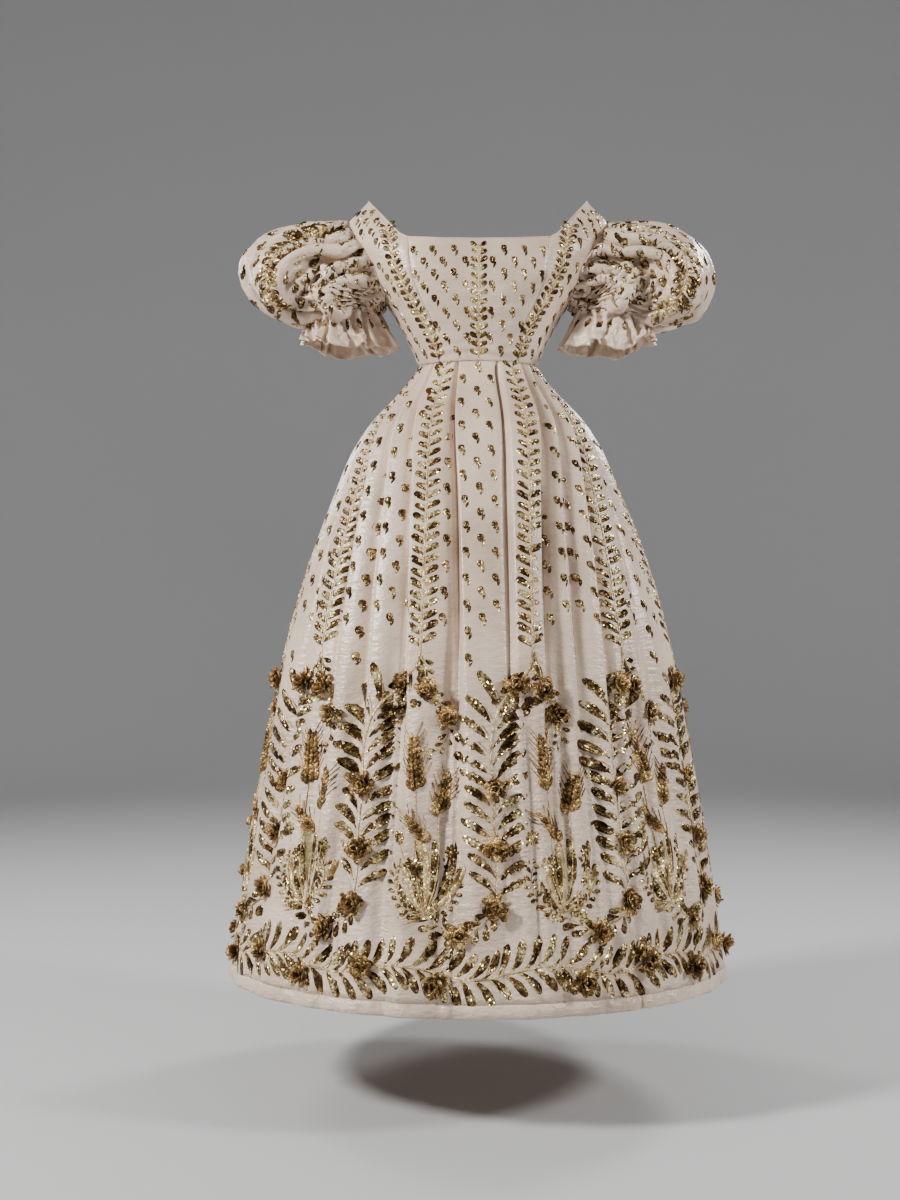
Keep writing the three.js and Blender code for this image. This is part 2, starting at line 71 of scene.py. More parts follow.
# The same rings, pleats and seams as the model's solids.
BODICE_RINGS = table("z half front back square",
    (0, 101, 83, 78, 2.0), (25, 112, 90, 83, 2.05), (52, 125, 99, 90, 2.1), (88, 144, 112, 99, 2.15),
    (108, 157, 117, 104, 2.2), (140, 179, 119, 109, 2.2), (167, 195, 115, 112, 2.2),
    (200, 212, 104, 110, 2.2), (225, 219, 84, 97, 2.2), (250, 221, 58, 72, 2.2), (270, 203, 33, 42, 2.2),
    (287, 187, 4, 4, 2.2))
SKIRT_RINGS = table("z half front back pleat edge crown",
    (0, 101, 83, 78, 1.2, 1.6, 0), (-18, 110, 89, 88, 5.5, 2.0, 0), (-45, 130, 104, 112, 9, 2.4, 1),
    (-85, 166, 131, 151, 12, 3, 2), (-140, 202, 161, 195, 15, 4, 3), (-220, 236, 189, 236, 17, 5, 5),
    (-330, 279, 223, 285, 17, 7, 6), (-470, 320, 257, 331, 15, 10, 6), (-630, 354, 284, 367, 12, 18, 4),
    (-800, 386, 309, 400, 9, 27, 3), (-930, 407, 326, 420, 6, 40, 2), (-1018, 419, 335, 432, 5, 44, 2),
    (-1041, 421, 337, 434, 4, 44, 1))
# Pleat edges: angle at the waist and at the hem, the height of the cloth before and after the edge, and
# how far down the edge stays crisp.
PLEATS = table("waist hem before after crisp",
    (-170, -166, -0.5, 0.7, 200), (-158, -152, -0.5, 0.8, 160), (-147, -137, -0.7, 0.6, 260),
    (-136, -122, -0.5, 0.7, 180), (-125, -106, -0.6, 0.8, 150), (-113, -90, -0.5, 0.6, 230),
    (-101, -74, -0.6, 0.7, 170), (-89, -58, -0.5, 0.6, 260), (-76, -42, -0.7, 0.7, 420),
    (-62, -31, -0.6, 0.6, 560), (-47, -19, -0.5, 0.9, 620), (-19.4, -4.5, -0.2, 0.8, 620),
    (19.4, 8.5, 0.1, 0.9, 400), (44, 16, 1.0, -0.6, 520), (57, 25, 0.6, -0.5, 560),
    (72, 35, 0.7, -0.7, 700), (86, 50, 0.6, -0.5, 300), (98, 65, 0.7, -0.6, 300), (110, 81, 0.6, -0.5, 170),
    (122, 97, 0.8, -0.6, 240), (134, 113, 0.7, -0.5, 180), (146, 129, 0.6, -0.7, 260),
    (158, 146, 0.8, -0.5, 160), (169, 163, 0.7, -0.6, 220), (180, 180, 0.6, 0.5, 300))
# Soft flutes of the lower skirt: place in degrees, half width, depth, ends and slant.
FLUTES = table("at wide depth top foot slant",
    (-8.5, 10, -4.5, -430, -1010, 0.8), (-2, 15, 2.5, -500, -960, -1), (-16, 13, 2.5, -560, -1020, 1.5),
    (-24, 9, -4.0, -520, -980, -1.2), (-36, 11, -5.0, -470, -1020, 1.0), (-47, 10, -3.5, -600, -1020, -1.5),
    (-63, 12, -5.0, -450, -1000, 1.2), (-80, 11, -4.0, -560, -1020, -1.0), (-97, 12, -5.0, -500, -980, 1.4),
    (-114, 10, -3.5, -580, -1020, 0.5), (-129, 12, -5.5, -460, -1010, -1.3),
    (-144, 11, -4.0, -590, -1000, 1.0), (-158, 12, -5.0, -500, -1020, -0.8),
    (-175, 11, -4.5, -560, -990, 1.2), (5.5, 9, -3.0, -620, -1000, 0.6), (12, 10, -4.5, -560, -1020, -0.8),
    (21, 11, -5.0, -450, -1000, 1.1), (30, 10, -3.5, -600, -1020, -1.0), (40, 12, 3.0, -520, -990, 1.2),
    (46, 9, -4.5, -500, -1020, 0.7), (58, 11, -5.0, -470, -980, -1.2), (73, 12, -4.0, -580, -1020, 1.0),
    (90, 11, -5.0, -520, -1000, -0.9), (106, 12, -4.5, -450, -1020, 1.3), (122, 10, -4.0, -600, -990, -1.1),
    (138, 12, -5.0, -490, -1020, 0.9), (155, 11, -4.0, -560, -1000, -1.0), (170, 12, -5.0, -480, -1020, 1.0))
# Breadths of the skirt, each from one pleat edge to another, by their places in the table of pleats.
BREADTHS = table("name start end",
    ("skirt_front", 8, 15), ("skirt_side_left", 15, 19), ("skirt_back_left", 19, 24),
    ("skirt_back_right", 24, 29), ("skirt_side_right", 29, 33))
NECK_FRONT = table("x z",
    (0, 202.6), (60, 204), (119, 209), (132, 217), (147, 235), (172, 268), (187, 287))
NECK_BACKS = table("x z",
    (0, 210), (60, 213), (100, 219), (130, 228), (152, 246), (173, 270), (187, 287))
FRONT_SEAM = table("z x",
    (0, 65), (66, 78), (103, 97), (140, 111), (209, 119))
ARMHOLE = table("z front back",
    (108, 90, 90), (114, 80, 100), (125, 74, 106), (140, 70, 110), (167, 65, 114), (200, 68, 112),
    (225, 75, 106), (240, 81, 99), (250, 90, 90))
# Rings of a sleeve beyond the armhole: outermost and innermost points and half the depth. The
# gathers are the narrow ring; the frill hangs below it.
PUFF_RINGS = table("out_x out_z in_x in_z deep",
    (262, 257, 162, 101, 82), (325, 254, 165, 97, 102), (377, 229, 167, 94, 111), (404, 188, 169, 93, 113),
    (406, 150, 171, 93, 109), (390, 111, 173, 95, 98), (352, 84, 175, 97, 80), (307, 79, 177, 100, 58))
FRILL_RINGS = table("out_x out_z in_x in_z deep",
    (307, 77, 177, 98, 58), (318, 55, 162, 76, 65), (327, 28, 146, 52, 72))


# ---- small tools ----------------------------------------------------------------------------------
def look_up(rows, key, name, value, smooth=True):
    """The named column where the key column has the given value, on a smooth curve through the rows."""
    keys = np.array([row[key] for row in rows], float)
    values = np.array([row[name] for row in rows], float)
    order = np.argsort(keys)
    keys, values = keys[order], values[order]
    value = np.clip(np.asarray(value, float), keys[0], keys[-1])
    if not smooth:
        return np.interp(value, keys, values)
    slopes = np.gradient(values, keys)
    k = np.clip(np.searchsorted(keys, value) - 1, 0, len(keys) - 2)
    gap = keys[k + 1] - keys[k]
    t = (value - keys[k]) / gap
    start = (1 + 2 * t) * (1 - t) ** 2 * values[k] + t * (1 - t) ** 2 * gap * slopes[k]
    end = t * t * (3 - 2 * t) * values[k + 1] + t * t * (t - 1) * gap * slopes[k + 1]
    return start + end


def bodice_size(name, z):
    return look_up(BODICE_RINGS, "z", name, z)


def skirt_size(name, z):
    return look_up(SKIRT_RINGS, "z", name, z)


def depth_at(size, ahead, z):
    """Half the depth in front where ahead is true, and behind where it isn't."""
    return np.where(ahead, size("front", z), size("back", z))


def half_turn(angle):
    """The same angle between minus and plus half a turn."""
    return np.mod(angle + math.pi, 2 * math.pi) - math.pi


def ease(value):
    """0 below -0.5, 1 above 0.5, and a smooth step between."""
    t = np.clip(np.asarray(value, float) + 0.5, 0, 1)
    return t * t * (3 - 2 * t)


def unit(vectors):
    return vectors / np.maximum(np.linalg.norm(vectors, axis=-1, keepdims=True), 1e-9)


def sheet_faces(rows, columns, wrap=False):
    """Four-sided faces of a sheet of rows by columns, facing out when columns run left to right."""
    j, i = np.meshgrid(np.arange(rows - 1), np.arange(columns if wrap else columns - 1), indexing="ij")
    following = (i + 1) % columns
    quads = np.stack([j * columns + i, j * columns + following,
                      (j + 1) * columns + following, (j + 1) * columns + i], axis=-1)
    return quads.reshape(-1, 4)


def new_piece(name, points, faces, material):
    """A mesh object at the origin from points in millimetres."""
    mesh = bpy.data.meshes.new(name)
    mesh.from_pydata((np.asarray(points).reshape(-1, 3) * MM).tolist(), [], np.asarray(faces).tolist())
    mesh.validate()
    mesh.update()
    piece = bpy.data.objects.new(name, mesh)
    bpy.context.scene.collection.objects.link(piece)
    mesh.materials.append(material)
    mesh.shade_smooth()
    return piece


def add_weave(piece, across, along):
    """A UV map in metres of cloth that runs along the sheet."""
    layer = piece.data.uv_layers.new(name="UVMap")
    loops = np.zeros(len(piece.data.loops), dtype=np.int64)
    piece.data.loops.foreach_get("vertex_index", loops)
    flat = np.stack([np.asarray(across).reshape(-1), np.asarray(along).reshape(-1)], axis=-1) * MM
    layer.data.foreach_set("uv", flat[loops].reshape(-1))


def apply_modifiers(piece):
    bpy.ops.object.select_all(action="DESELECT")
    piece.select_set(True)
    bpy.context.view_layer.objects.active = piece
    for modifier in list(piece.modifiers):
        bpy.ops.object.modifier_apply(modifier=modifier.name)
    piece.select_set(False)


def set_all(target, **values):
    for name, value in values.items():
        setattr(target, name, value)


def thicken(piece, thickness=CLOTH):
    """Gives a sheet its thickness on the inside."""
    set_all(piece.modifiers.new("thickness", "SOLIDIFY"), thickness=thickness * MM, offset=-1,
            use_even_offset=False, use_quality_normals=True)
    apply_modifiers(piece)


def sewn(piece, name):
    """Satin cloth on the one body, in the place of the solid of its name."""
    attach(piece, "root")
    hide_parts(name)


# ---- materials ------------------------------------------------------------------------------------
def node(tree, kind, **settings):
    made = tree.nodes.new(kind)
    for name, value in settings.items():
        if name in made.inputs:
            made.inputs[name].default_value = value
        else:
            setattr(made, name, value)
    return made


def join(tree, *links):
    """Joins nodes: each link is a node, its output, the node it feeds and that node's input."""
    for source, output, target, entry in links:
        tree.links.new(source.outputs[output], target.inputs[entry])


def new_material(name, sockets):
    material = bpy.data.materials.new(name)
    material.use_nodes = True
    shader = material.node_tree.nodes["Principled BSDF"]
    for socket, value in sockets.items():
        shader.inputs[socket].default_value = value
    return material, material.node_tree, shader


def colour_ramp(tree, first, last, middle=None):
    """A ramp of colours, each with its place."""
    ramp = node(tree, "ShaderNodeValToRGB")
    for element, (place, colour) in zip(ramp.color_ramp.elements, (first, last)):
        element.position, element.color = place, (*colour, 1)
    if middle:
        ramp.color_ramp.elements.new(middle[0]).color = (*middle[1], 1)
    return ramp


def satin_material():
    """Ivory-pink satin: a soft sheen, faint age tints, fine weave and small puckers, deeper near the hem."""
    material, tree, shader = new_material("satin", {
        "Roughness": 0.31, "Sheen Weight": 0.15, "Sheen Roughness": 0.35, "Specular IOR Level": 0.55})
    place = node(tree, "ShaderNodeTexCoord")
    tint = node(tree, "ShaderNodeTexNoise", Scale=7.0, Detail=4.0, Roughness=0.6)
    ramp = colour_ramp(tree, (0.34, (0.565, 0.425, 0.325)), (0.66, (0.80, 0.645, 0.515)))
    squash = node(tree, "ShaderNodeMapping", Scale=(1.0, 1.0, 2.2))
    pucker = node(tree, "ShaderNodeTexNoise", Scale=60.0, Detail=3.0, Roughness=0.55)
    weave = node(tree, "ShaderNodeTexNoise", Scale=900.0, Detail=2.0)
    height = node(tree, "ShaderNodeSeparateXYZ")
    lower = node(tree, "ShaderNodeMapRange")
    for name, value in (("From Min", -0.45), ("From Max", -0.62), ("To Min", 0.42), ("To Max", 1.0)):
        lower.inputs[name].default_value = value
    coarse = node(tree, "ShaderNodeBump", Distance=0.0045)
    fine = node(tree, "ShaderNodeBump", Strength=0.12, Distance=0.0003)
    join(tree, (place, "Object", tint, "Vector"), (tint, "Fac", ramp, "Fac"),
         (ramp, "Color", shader, "Base Color"), (place, "Object", squash, "Vector"),
         (squash, "Vector", pucker, "Vector"), (place, "Object", weave, "Vector"),
         (place, "Object", height, "Vector"), (height, "Z", lower, "Value"),
         (lower, "Result", coarse, "Strength"), (pucker, "Fac", coarse, "Height"),
         (weave, "Fac", fine, "Height"), (coarse, "Normal", fine, "Normal"), (fine, "Normal", shader, "Normal"))
    return material


SATIN = satin_material()


# ---- bodice ---------------------------------------------------------------------------------------
def bodice_point(angle, z, lift=0.0):
    """Points of the bodice at angles from the centre front and heights, lifted off the cloth."""
    angle, z = np.broadcast_arrays(np.asarray(angle, float), np.asarray(z, float))

    def raw(turn, height):
        half = bodice_size("half", height)
        square = bodice_size("square", height)
        ahead, aside = np.cos(turn), np.sin(turn)
        deep = depth_at(bodice_size, ahead > 0, height)
        x = half * np.sign(aside) * np.abs(aside) ** (2 / square)
        y = -deep * np.sign(ahead) * np.abs(ahead) ** (2 / square)
        return np.stack([x, y, height + 0 * x], axis=-1)

    around = raw(angle + 0.02, z) - raw(angle - 0.02, z)
    rise = raw(angle, np.minimum(z + 2, 287)) - raw(angle, z - 2)
    normal = unit(np.cross(around, rise))
    return raw(angle, z) + normal * np.asarray(lift, float)[..., None], normal


def bodice_angle(x, z):
    half = bodice_size("half", z)
    square = bodice_size("square", z)
    return np.arcsin(np.minimum(1, np.abs(x) / half) ** (square / 2))


def seam_relief(across, width):
    """The cloth dips a little where it is sewn down at both sides of a panel."""
    edge = np.minimum(across, 1 - across) * width
    return -0.9 * np.exp(-(edge / 2.2) ** 2)


def even_steps(count, cluster=0.0):
    """Steps from 0 to 1, closer together at both ends when cluster is above 0."""
    t = np.linspace(0, 1, count)
    return (1 - cluster) * t + cluster * (1 - np.cos(np.pi * t)) / 2


def bodice_wrinkles(angle, z):
    """Soft pulls across the bodice: small ones at the waist and slanting ones towards the armholes."""
    side = np.abs(angle)
    waist = 0.9 * np.exp(-((z - 16) / 15) ** 2) * np.sin(z / 2.8 + 3 * side + np.sin(5 * angle))
    across = 0.45 * np.exp(-((z - 75) / 60) ** 2) * np.sin(z / 4.4 + 2.2 * np.sin(4.3 * angle + 1) + 1.5 * side)
    pull = 1.1 * np.exp(-((side - 1.05) / 0.25) ** 2 - ((z - 118) / 34) ** 2) * np.sin((z + 60 * side) / 6.5)
    return waist + across + pull


def bodice_panel(name, angle, z, across):
    width = np.ptp(angle[0]) * 95
    point = bodice_point(angle, z, seam_relief(across, width) + bodice_wrinkles(angle, z))[0]
    piece = new_piece(name, point, sheet_faces(*angle.shape), SATIN)
    add_weave(piece, angle * 100, z)
    thicken(piece)
    sewn(piece, name)
    return piece


def neck_height(rows, x):
    return look_up(rows, "x", "z", x, smooth=False)


def make_bodice():
    across = even_steps(61, 0.4)
    rise = even_steps(70)
    widest = NECK_FRONT[2]["x"]
    side = 2 * across - 1
    seam_z = 0.2 + (NECK_FRONT_SEAM - 1.2) * rise[:, None] + 0 * side
    top = neck_height(NECK_FRONT, np.abs(side) * widest) / NECK_FRONT_SEAM
    seam = bodice_angle(look_up(FRONT_SEAM, "z", "x", seam_z) - SEAM_GAP / 2, seam_z)
    bodice_panel("bodice_front", side * seam, seam_z * top, across + 0 * seam_z)

    levels = np.concatenate([np.linspace(0.2, UNDERARM, 26), np.linspace(UNDERARM + 1, 285, 64)])
    for label, hand in (("left", 1), ("right", -1)):
        part = even_steps(37, 0.4)
        z = levels[:, None] + 0 * part
        seam = bodice_angle(look_up(FRONT_SEAM, "z", "x", levels) + SEAM_GAP / 2, levels)
        neck = bodice_angle(look_up(NECK_FRONT, "z", "x", levels, smooth=False) + 1.2, levels)
        inner = np.where(levels > NECK_FRONT_SEAM - 1, neck, seam)
        hole = np.radians(look_up(ARMHOLE, "z", "front", levels))
        on_arm = (levels > UNDERARM) & (levels < SHOULDER_END)
        outer = np.where(on_arm, np.minimum(hole, np.pi / 2 - 0.002), np.pi / 2 - 0.002)
        angle = inner[:, None] + (outer - inner)[:, None] * part
        order = slice(None) if hand > 0 else slice(None, None, -1)
        bodice_panel(f"bodice_side_front_{label}", hand * angle[:, order], z,
                     part + 0 * z)

        neck = np.pi - bodice_angle(look_up(NECK_BACKS, "z", "x", levels, smooth=False) + 1.2, levels)
        inner = np.where(levels > NECK_BACK, neck, np.pi - 0.0018)
        hole = np.radians(look_up(ARMHOLE, "z", "back", levels))
        outer = np.where(on_arm, np.maximum(hole, np.pi / 2 + 0.002), np.pi / 2 + 0.002)
        part = even_steps(51, 0.4)
        z = levels[:, None] + 0 * part
        angle = outer[:, None] + (inner - outer)[:, None] * part
        bodice_panel(f"bodice_back_{label}", hand * angle[:, order], z,
                     part + 0 * z)


make_bodice()


# ---- skirt ----------------------------------------------------------------------------------------
def pleat_angle(row, z):
    """Where a pleat edge or a vine lies at a height, in radians."""
    fan = np.exp(np.asarray(z, float) / SPREAD)
    return np.radians(row["hem"] + (row["waist"] - row["hem"]) * fan)


def turned(row, turns):
    return {**row, "waist": row["waist"] + 360 * turns, "hem": row["hem"] + 360 * turns}


def skirt_relief(angle, z):
    """How far the cloth stands out of the skirt's plain form: pleats, their shadows and soft flutes."""
    angle = half_turn(angle)
    half = skirt_size("half", z)
    edge = skirt_size("edge", z) / half
    pleat = skirt_size("pleat", z)
    crown = skirt_size("crown", z)
    ring = [turned(PLEATS[-1], -1), *PLEATS, turned(PLEATS[0], 1)]
    relief = np.zeros_like(angle)
    for row, following in zip(ring, ring[1:]):
        start, end = pleat_angle(row, z), pleat_angle(following, z)
        inside = ease((angle - start) / edge) * (1 - ease((angle - end) / edge))
        t = np.clip((angle - start) / (end - start), 0, 1)
        height = row["after"] + (following["before"] - row["after"]) * t
        relief += inside * (height * pleat + crown * 4 * t * (1 - t))
    for row in ring:
        away = (angle - pleat_angle(row, z)) * half
        low = 1 if row["after"] < row["before"] else -1
        sharp = np.exp(z / row["crisp"]) * ease((-z - 4) / 16)
        # The shadow line lies where the raised edge doesn't hide it from the front.
        step = np.abs(row["after"] - row["before"]) * pleat
        turn = np.clip(np.abs(pleat_angle(row, z)), 0, 0.8)
        place = np.clip(0.25 * edge * half + 0.8 * step * np.tan(turn), 0, 12)
        relief -= (row["crisp"] / 60 + 6.5) * sharp * np.exp(-((away - low * (2.2 + place)) / 2.6) ** 2)
        relief += 1.6 * sharp * np.exp(-((away + low * 4.0) / 3.4) ** 2)
    for flute in FLUTES:
        place = np.radians(flute["at"] + flute["slant"] * (z + 700) / 300)
        away = half_turn(angle - place)
        middle = (flute["top"] + flute["foot"]) / 2
        height = np.exp(-((z - middle) / (0.55 * (flute["top"] - flute["foot"]))) ** 4)
        relief += 2.5 * flute["depth"] * height * np.exp(-(away * half / flute["wide"]) ** 2)
    return relief


def skirt_point(angle, z, lift=0.0):
    """Points of the skirt at angles from the centre front and heights, lifted off the cloth."""
    angle, z = np.broadcast_arrays(np.asarray(angle, float), np.asarray(z, float))

    def raw(turn, height):
        half = skirt_size("half", height)
        deep = depth_at(skirt_size, np.cos(turn) > 0, height)
        base = np.stack([half * np.sin(turn), -deep * np.cos(turn), 0 * height], axis=-1)
        out = unit(base)
        point = base + out * skirt_relief(turn, height)[..., None]
        point[..., 2] = height
        return point

    around = raw(angle + 0.004, z) - raw(angle - 0.004, z)
    rise = raw(angle, z + 2) - raw(angle, z - 2)
    normal = unit(np.cross(around, rise))
    return raw(angle, z) + normal * np.asarray(lift, float)[..., None], normal


# Columns between two pleat edges, as shares of the way.
SKIRT_STEPS = np.array([0, .018, .04, .07, .11, .15, .20, .26, .34, .44,
                        .54, .64, .72, .78, .83, .87, .91, .94, .965, .985])


def breadth_angles(breadth, z):
    """Angles of a breadth's columns at each height, closest together beside the pleat edges."""
    columns = []
    for index in range(breadth["start"], breadth["end"] + 1):
        row = turned(PLEATS[index % len(PLEATS)], index // len(PLEATS))
        here = pleat_angle(row, z)
        if index == breadth["end"]:
            columns.append(here)
            break
        following = turned(PLEATS[(index + 1) % len(PLEATS)], (index + 1) // len(PLEATS))
        there = pleat_angle(following, z)
        columns += [here + (there - here) * t for t in SKIRT_STEPS]
    angles = np.stack(columns, axis=-1)
    gap = SEAM_GAP / 2 / skirt_size("half", z)
    angles[:, 0] += gap
    angles[:, -1] -= gap
    return angles


def make_skirt():
    levels = np.concatenate([np.linspace(HEM_SEAM + 0.2, -120, 91), np.linspace(-111, -0.2, 28)])
    for breadth in BREADTHS:
        angle = breadth_angles(breadth, levels)
        z = levels[:, None] + 0 * angle
        piece = new_piece(breadth["name"], skirt_point(angle, z)[0], sheet_faces(*angle.shape), SATIN)
        add_weave(piece, angle * 420, z)
        thicken(piece)
        sewn(piece, breadth["name"])


make_skirt()


# ---- neck binding and padded hem ------------------------------------------------------------------
def ring_tube(name, centres, outs, ups, section, thickness):
    """A hollow tube round a closed route; the section's rows are distances out and up."""
    points = np.stack([centres + outs * out + ups * up for out, up in section], axis=0)
    count = centres.shape[0]
    faces = sheet_faces(len(section) + 1, count, wrap=True) % (len(section) * count)
    middle = points.mean(axis=0)
    normal = np.cross(points[0, 1] - points[0, 0], points[1, 0] - points[0, 0])
    if np.dot(normal, points[0, 0] - middle[0]) < 0:
        faces = faces[:, ::-1]
    piece = new_piece(name, points, faces, SATIN)
    along = np.concatenate([[0], np.cumsum(np.linalg.norm(np.diff(centres, axis=0), axis=1))])
    girth = np.arange(len(section))[:, None] * 3.0 + 0 * along
    add_weave(piece, along + 0 * girth, girth)
    thicken(piece, thickness)
    sewn(piece, name)


def neck_route():
    """Points of the neckline all round, with the directions out of the cloth and up along it."""
    route = []
    for rows, back in ((NECK_FRONT, False), (NECK_BACKS, True)):
        x = np.concatenate([np.linspace(0, 119, 26)[:-1], 119 + 68 * np.sin(np.linspace(0, math.pi / 2, 30))])
        x = x[::-1][1:] if back else x
        z = look_up(rows, "x", "z", x, smooth=False)
        angle = bodice_angle(x, np.minimum(z, 286.5))
        route.append(np.stack([math.pi - angle if back else angle, z], axis=-1))
    half = np.concatenate(route)
    other = half[1:-1][::-1] * [-1, 1]
    angle, z = np.concatenate([half, other]).T
    point, out = bodice_point(angle, z)
    around = unit(np.roll(point, -1, axis=0) - np.roll(point, 1, axis=0))
    up = unit(np.cross(out, around))
    up *= np.where(up[:, 2:] < 0, -1, 1)
    return point, out, up


def make_neck_binding():
    point, out, up = neck_route()
    turns = np.linspace(0, 2 * math.pi, 12, endpoint=False)
    half = BINDING / 2
    section = [(-0.9 + half * math.cos(turn), -half + half * math.sin(turn)) for turn in turns]
    ring_tube("neck_binding", point, out, up, section, 0.35)


def hem_puckers(angle):
    """Small uneven puckers along the padded hem."""
    return (0.55 * np.sin(83 * angle + 2 * np.sin(5 * angle)) + 0.4 * np.sin(47 * angle + 1.3)
            + 0.35 * np.sin(121 * angle + 3 * np.sin(9 * angle)))


def make_hem():
    angle = np.linspace(-math.pi, math.pi, 480, endpoint=False)
    profile = [(0.0, -1018.3), (2.0, -1021), (3.6, -1026), (4.0, -1031), (3.2, -1036), (1.0, -1039.8),
               (-2.0, -1041), (-4.6, -1038.5), (-5.2, -1032), (-4.2, -1024), (-1.8, -1018.3)]
    rows = []
    for lift, z in profile:
        swell = 0.5 + 0.5 * math.cos((z + 1030) / 12 * math.pi / 2)
        rows.append(skirt_point(angle, z + 0 * angle, lift + hem_puckers(angle) * swell * (lift > 0.5))[0])
    points = np.stack(rows)
    points[..., 2] = np.array([z for lift, z in profile])[:, None]
    count = len(angle)
    faces = sheet_faces(len(profile) + 1, count, wrap=True) % (len(profile) * count)
    piece = new_piece("hem_roll", points, faces[:, ::-1], SATIN)
    girth = np.arange(len(profile))[:, None] * 5.0 + 0 * angle
    add_weave(piece, angle * 420 + 0 * girth, girth)
    thicken(piece, 0.5)
    sewn(piece, "hem_roll")


make_neck_binding()
make_hem()


# ---- sleeves --------------------------------------------------------------------------------------
# Folds that the gathers start: degrees round the sleeve from the shoulder over the front, width in
# degrees, height in mm, and how they slant as they run out from the armhole.
SLEEVE_FOLDS = {
    1: table("at wide high slant",
        (4, 9, 7, 10), (27, 7, 6, 22), (49, 10, 9, 8), (76, 8, 6, -14), (104, 9, 8, 12), (131, 7, 6, -20),
        (158, 9, 6, 6), (196, 9, 6, -8), (226, 8, 8, 14), (257, 10, 7, -12), (290, 8, 8, 9),
        (322, 9, 7, -16), (346, 6, 5, 5)),
    -1: table("at wide high slant",
        (-3, 8, 6, 14), (19, 8, 8, 12), (42, 9, 6, 20), (68, 9, 8, -6), (95, 8, 7, 18), (122, 9, 7, -10),
        (150, 8, 6, 10), (188, 10, 6, -12), (219, 8, 7, 8), (248, 9, 8, -15), (281, 9, 7, 12),
        (313, 8, 8, -9), (338, 7, 6, 6)),
}


def armhole_ring(turn):
    """The armhole's edge from the shoulder point over the front to the underarm and back."""
    z = UNDERARM + (SHOULDER_END - UNDERARM) * (1 + np.cos(turn)) / 2
    ahead = np.radians(look_up(ARMHOLE, "z", "front", z))
    behind = np.radians(look_up(ARMHOLE, "z", "back", z))
    point = bodice_point(np.where(np.sin(turn) > 0, ahead, behind), z)[0]
    return point + np.stack([1.3 + 0 * turn, 0 * turn, 0.5 * np.cos(turn)], axis=-1)


def oval_ring(ring, turn):
    outer, inner = np.array([ring["out_x"], 0, ring["out_z"]]), np.array([ring["in_x"], 0, ring["in_z"]])
    point = (outer + inner) / 2 + (outer - inner) / 2 * np.cos(turn)[:, None]
    point[:, 1] = -ring["deep"] * np.sin(turn)
    return point


def smooth_rows(rings, count):
    """Evenly spaced rows of a smooth sheet through the rings."""
    rings = np.asarray(rings, float)
    gaps = np.linalg.norm(np.diff(rings, axis=0), axis=2).mean(axis=1)
    along = np.concatenate([[0], np.cumsum(gaps)])
    wanted = np.linspace(0, along[-1], count)
    k = np.clip(np.searchsorted(along, wanted) - 1, 0, len(gaps) - 1)
    slopes = np.gradient(rings, along, axis=0)
    gap = gaps[k][:, None, None]
    t = ((wanted - along[k]) / gaps[k])[:, None, None]
    return ((1 + 2 * t) * (1 - t) ** 2 * rings[k] + t * (1 - t) ** 2 * gap * slopes[k]
            + t * t * (3 - 2 * t) * rings[k + 1] + t * t * (t - 1) * gap * slopes[k + 1])


def sheet_normals(points):
    around = np.roll(points, -1, axis=1) - np.roll(points, 1, axis=1)
    along = np.gradient(points, axis=0)
    return unit(np.cross(along, around))


def drape(piece, pinned_rows, growth, pressure, gravity):
    """Lets the gathered cloth find its folds: the sheet is larger than its form and held at the pins."""
    pins = piece.vertex_groups.new(name="pins")
    for row in pinned_rows:
        pins.add(list(range(row * SLEEVE_COLUMNS, (row + 1) * SLEEVE_COLUMNS)), 1.0, "REPLACE")
    cloth = piece.modifiers.new("drape", "CLOTH")
    set_all(cloth.settings, quality=4, mass=0.15, tension_stiffness=12, compression_stiffness=12,
            shear_stiffness=3, bending_stiffness=0.22, tension_damping=4, bending_damping=0.5,
            shrink_min=-growth, use_pressure=True, uniform_pressure_force=pressure, vertex_group_mass="pins")
    cloth.settings.effector_weights.gravity = gravity
    set_all(cloth.collision_settings, use_self_collision=True, self_distance_min=0.003)
    set_all(cloth.point_cache, frame_start=1, frame_end=DRAPE_FRAMES)
    for frame_number in range(1, DRAPE_FRAMES + 1):
        bpy.context.scene.frame_set(frame_number)
    apply_modifiers(piece)
    bpy.context.scene.frame_set(1)
    piece.vertex_groups.clear()


def settled(points, side):
    """Draws the swollen puff in to the width and the drop that it has when it is worn."""
    start, share = PUFF_DRAW
    out = side * points[:, 0]
    points[:, 0] = side * np.where(out > start, start + (out - start) * share, out)
    low = np.clip((out - 250) / 60, 0, 1) * np.clip((92 - points[:, 2]) / 20, 0, 1)
    points[:, 2] += low * 0.4 * (92 - points[:, 2])
    return points


def keep_off_bodice(points):
    """Moves points that came too close to the bodice back out from it."""
    z = np.clip(points[:, 2], 0, 270)
    half = bodice_size("half", z) + 2.4
    deep = depth_at(bodice_size, points[:, 1] < 0, z) + 2.4
    inside = (np.abs(points[:, 0]) / half) ** 2.1 + (np.abs(points[:, 1]) / deep) ** 2.1
    near = (inside < 1) & (points[:, 2] < 262)
    away = half * np.maximum(0, 1 - (np.abs(points[:, 1]) / deep).clip(0, 1) ** 2.1) ** (1 / 2.1)
    points[near, 0] = np.sign(points[near, 0]) * np.maximum(np.abs(points[near, 0]), away[near])
    return points


def coordinates(piece):
    flat = np.zeros(len(piece.data.vertices) * 3)
    piece.data.vertices.foreach_get("co", flat)
    return flat.reshape(-1, 3) / MM


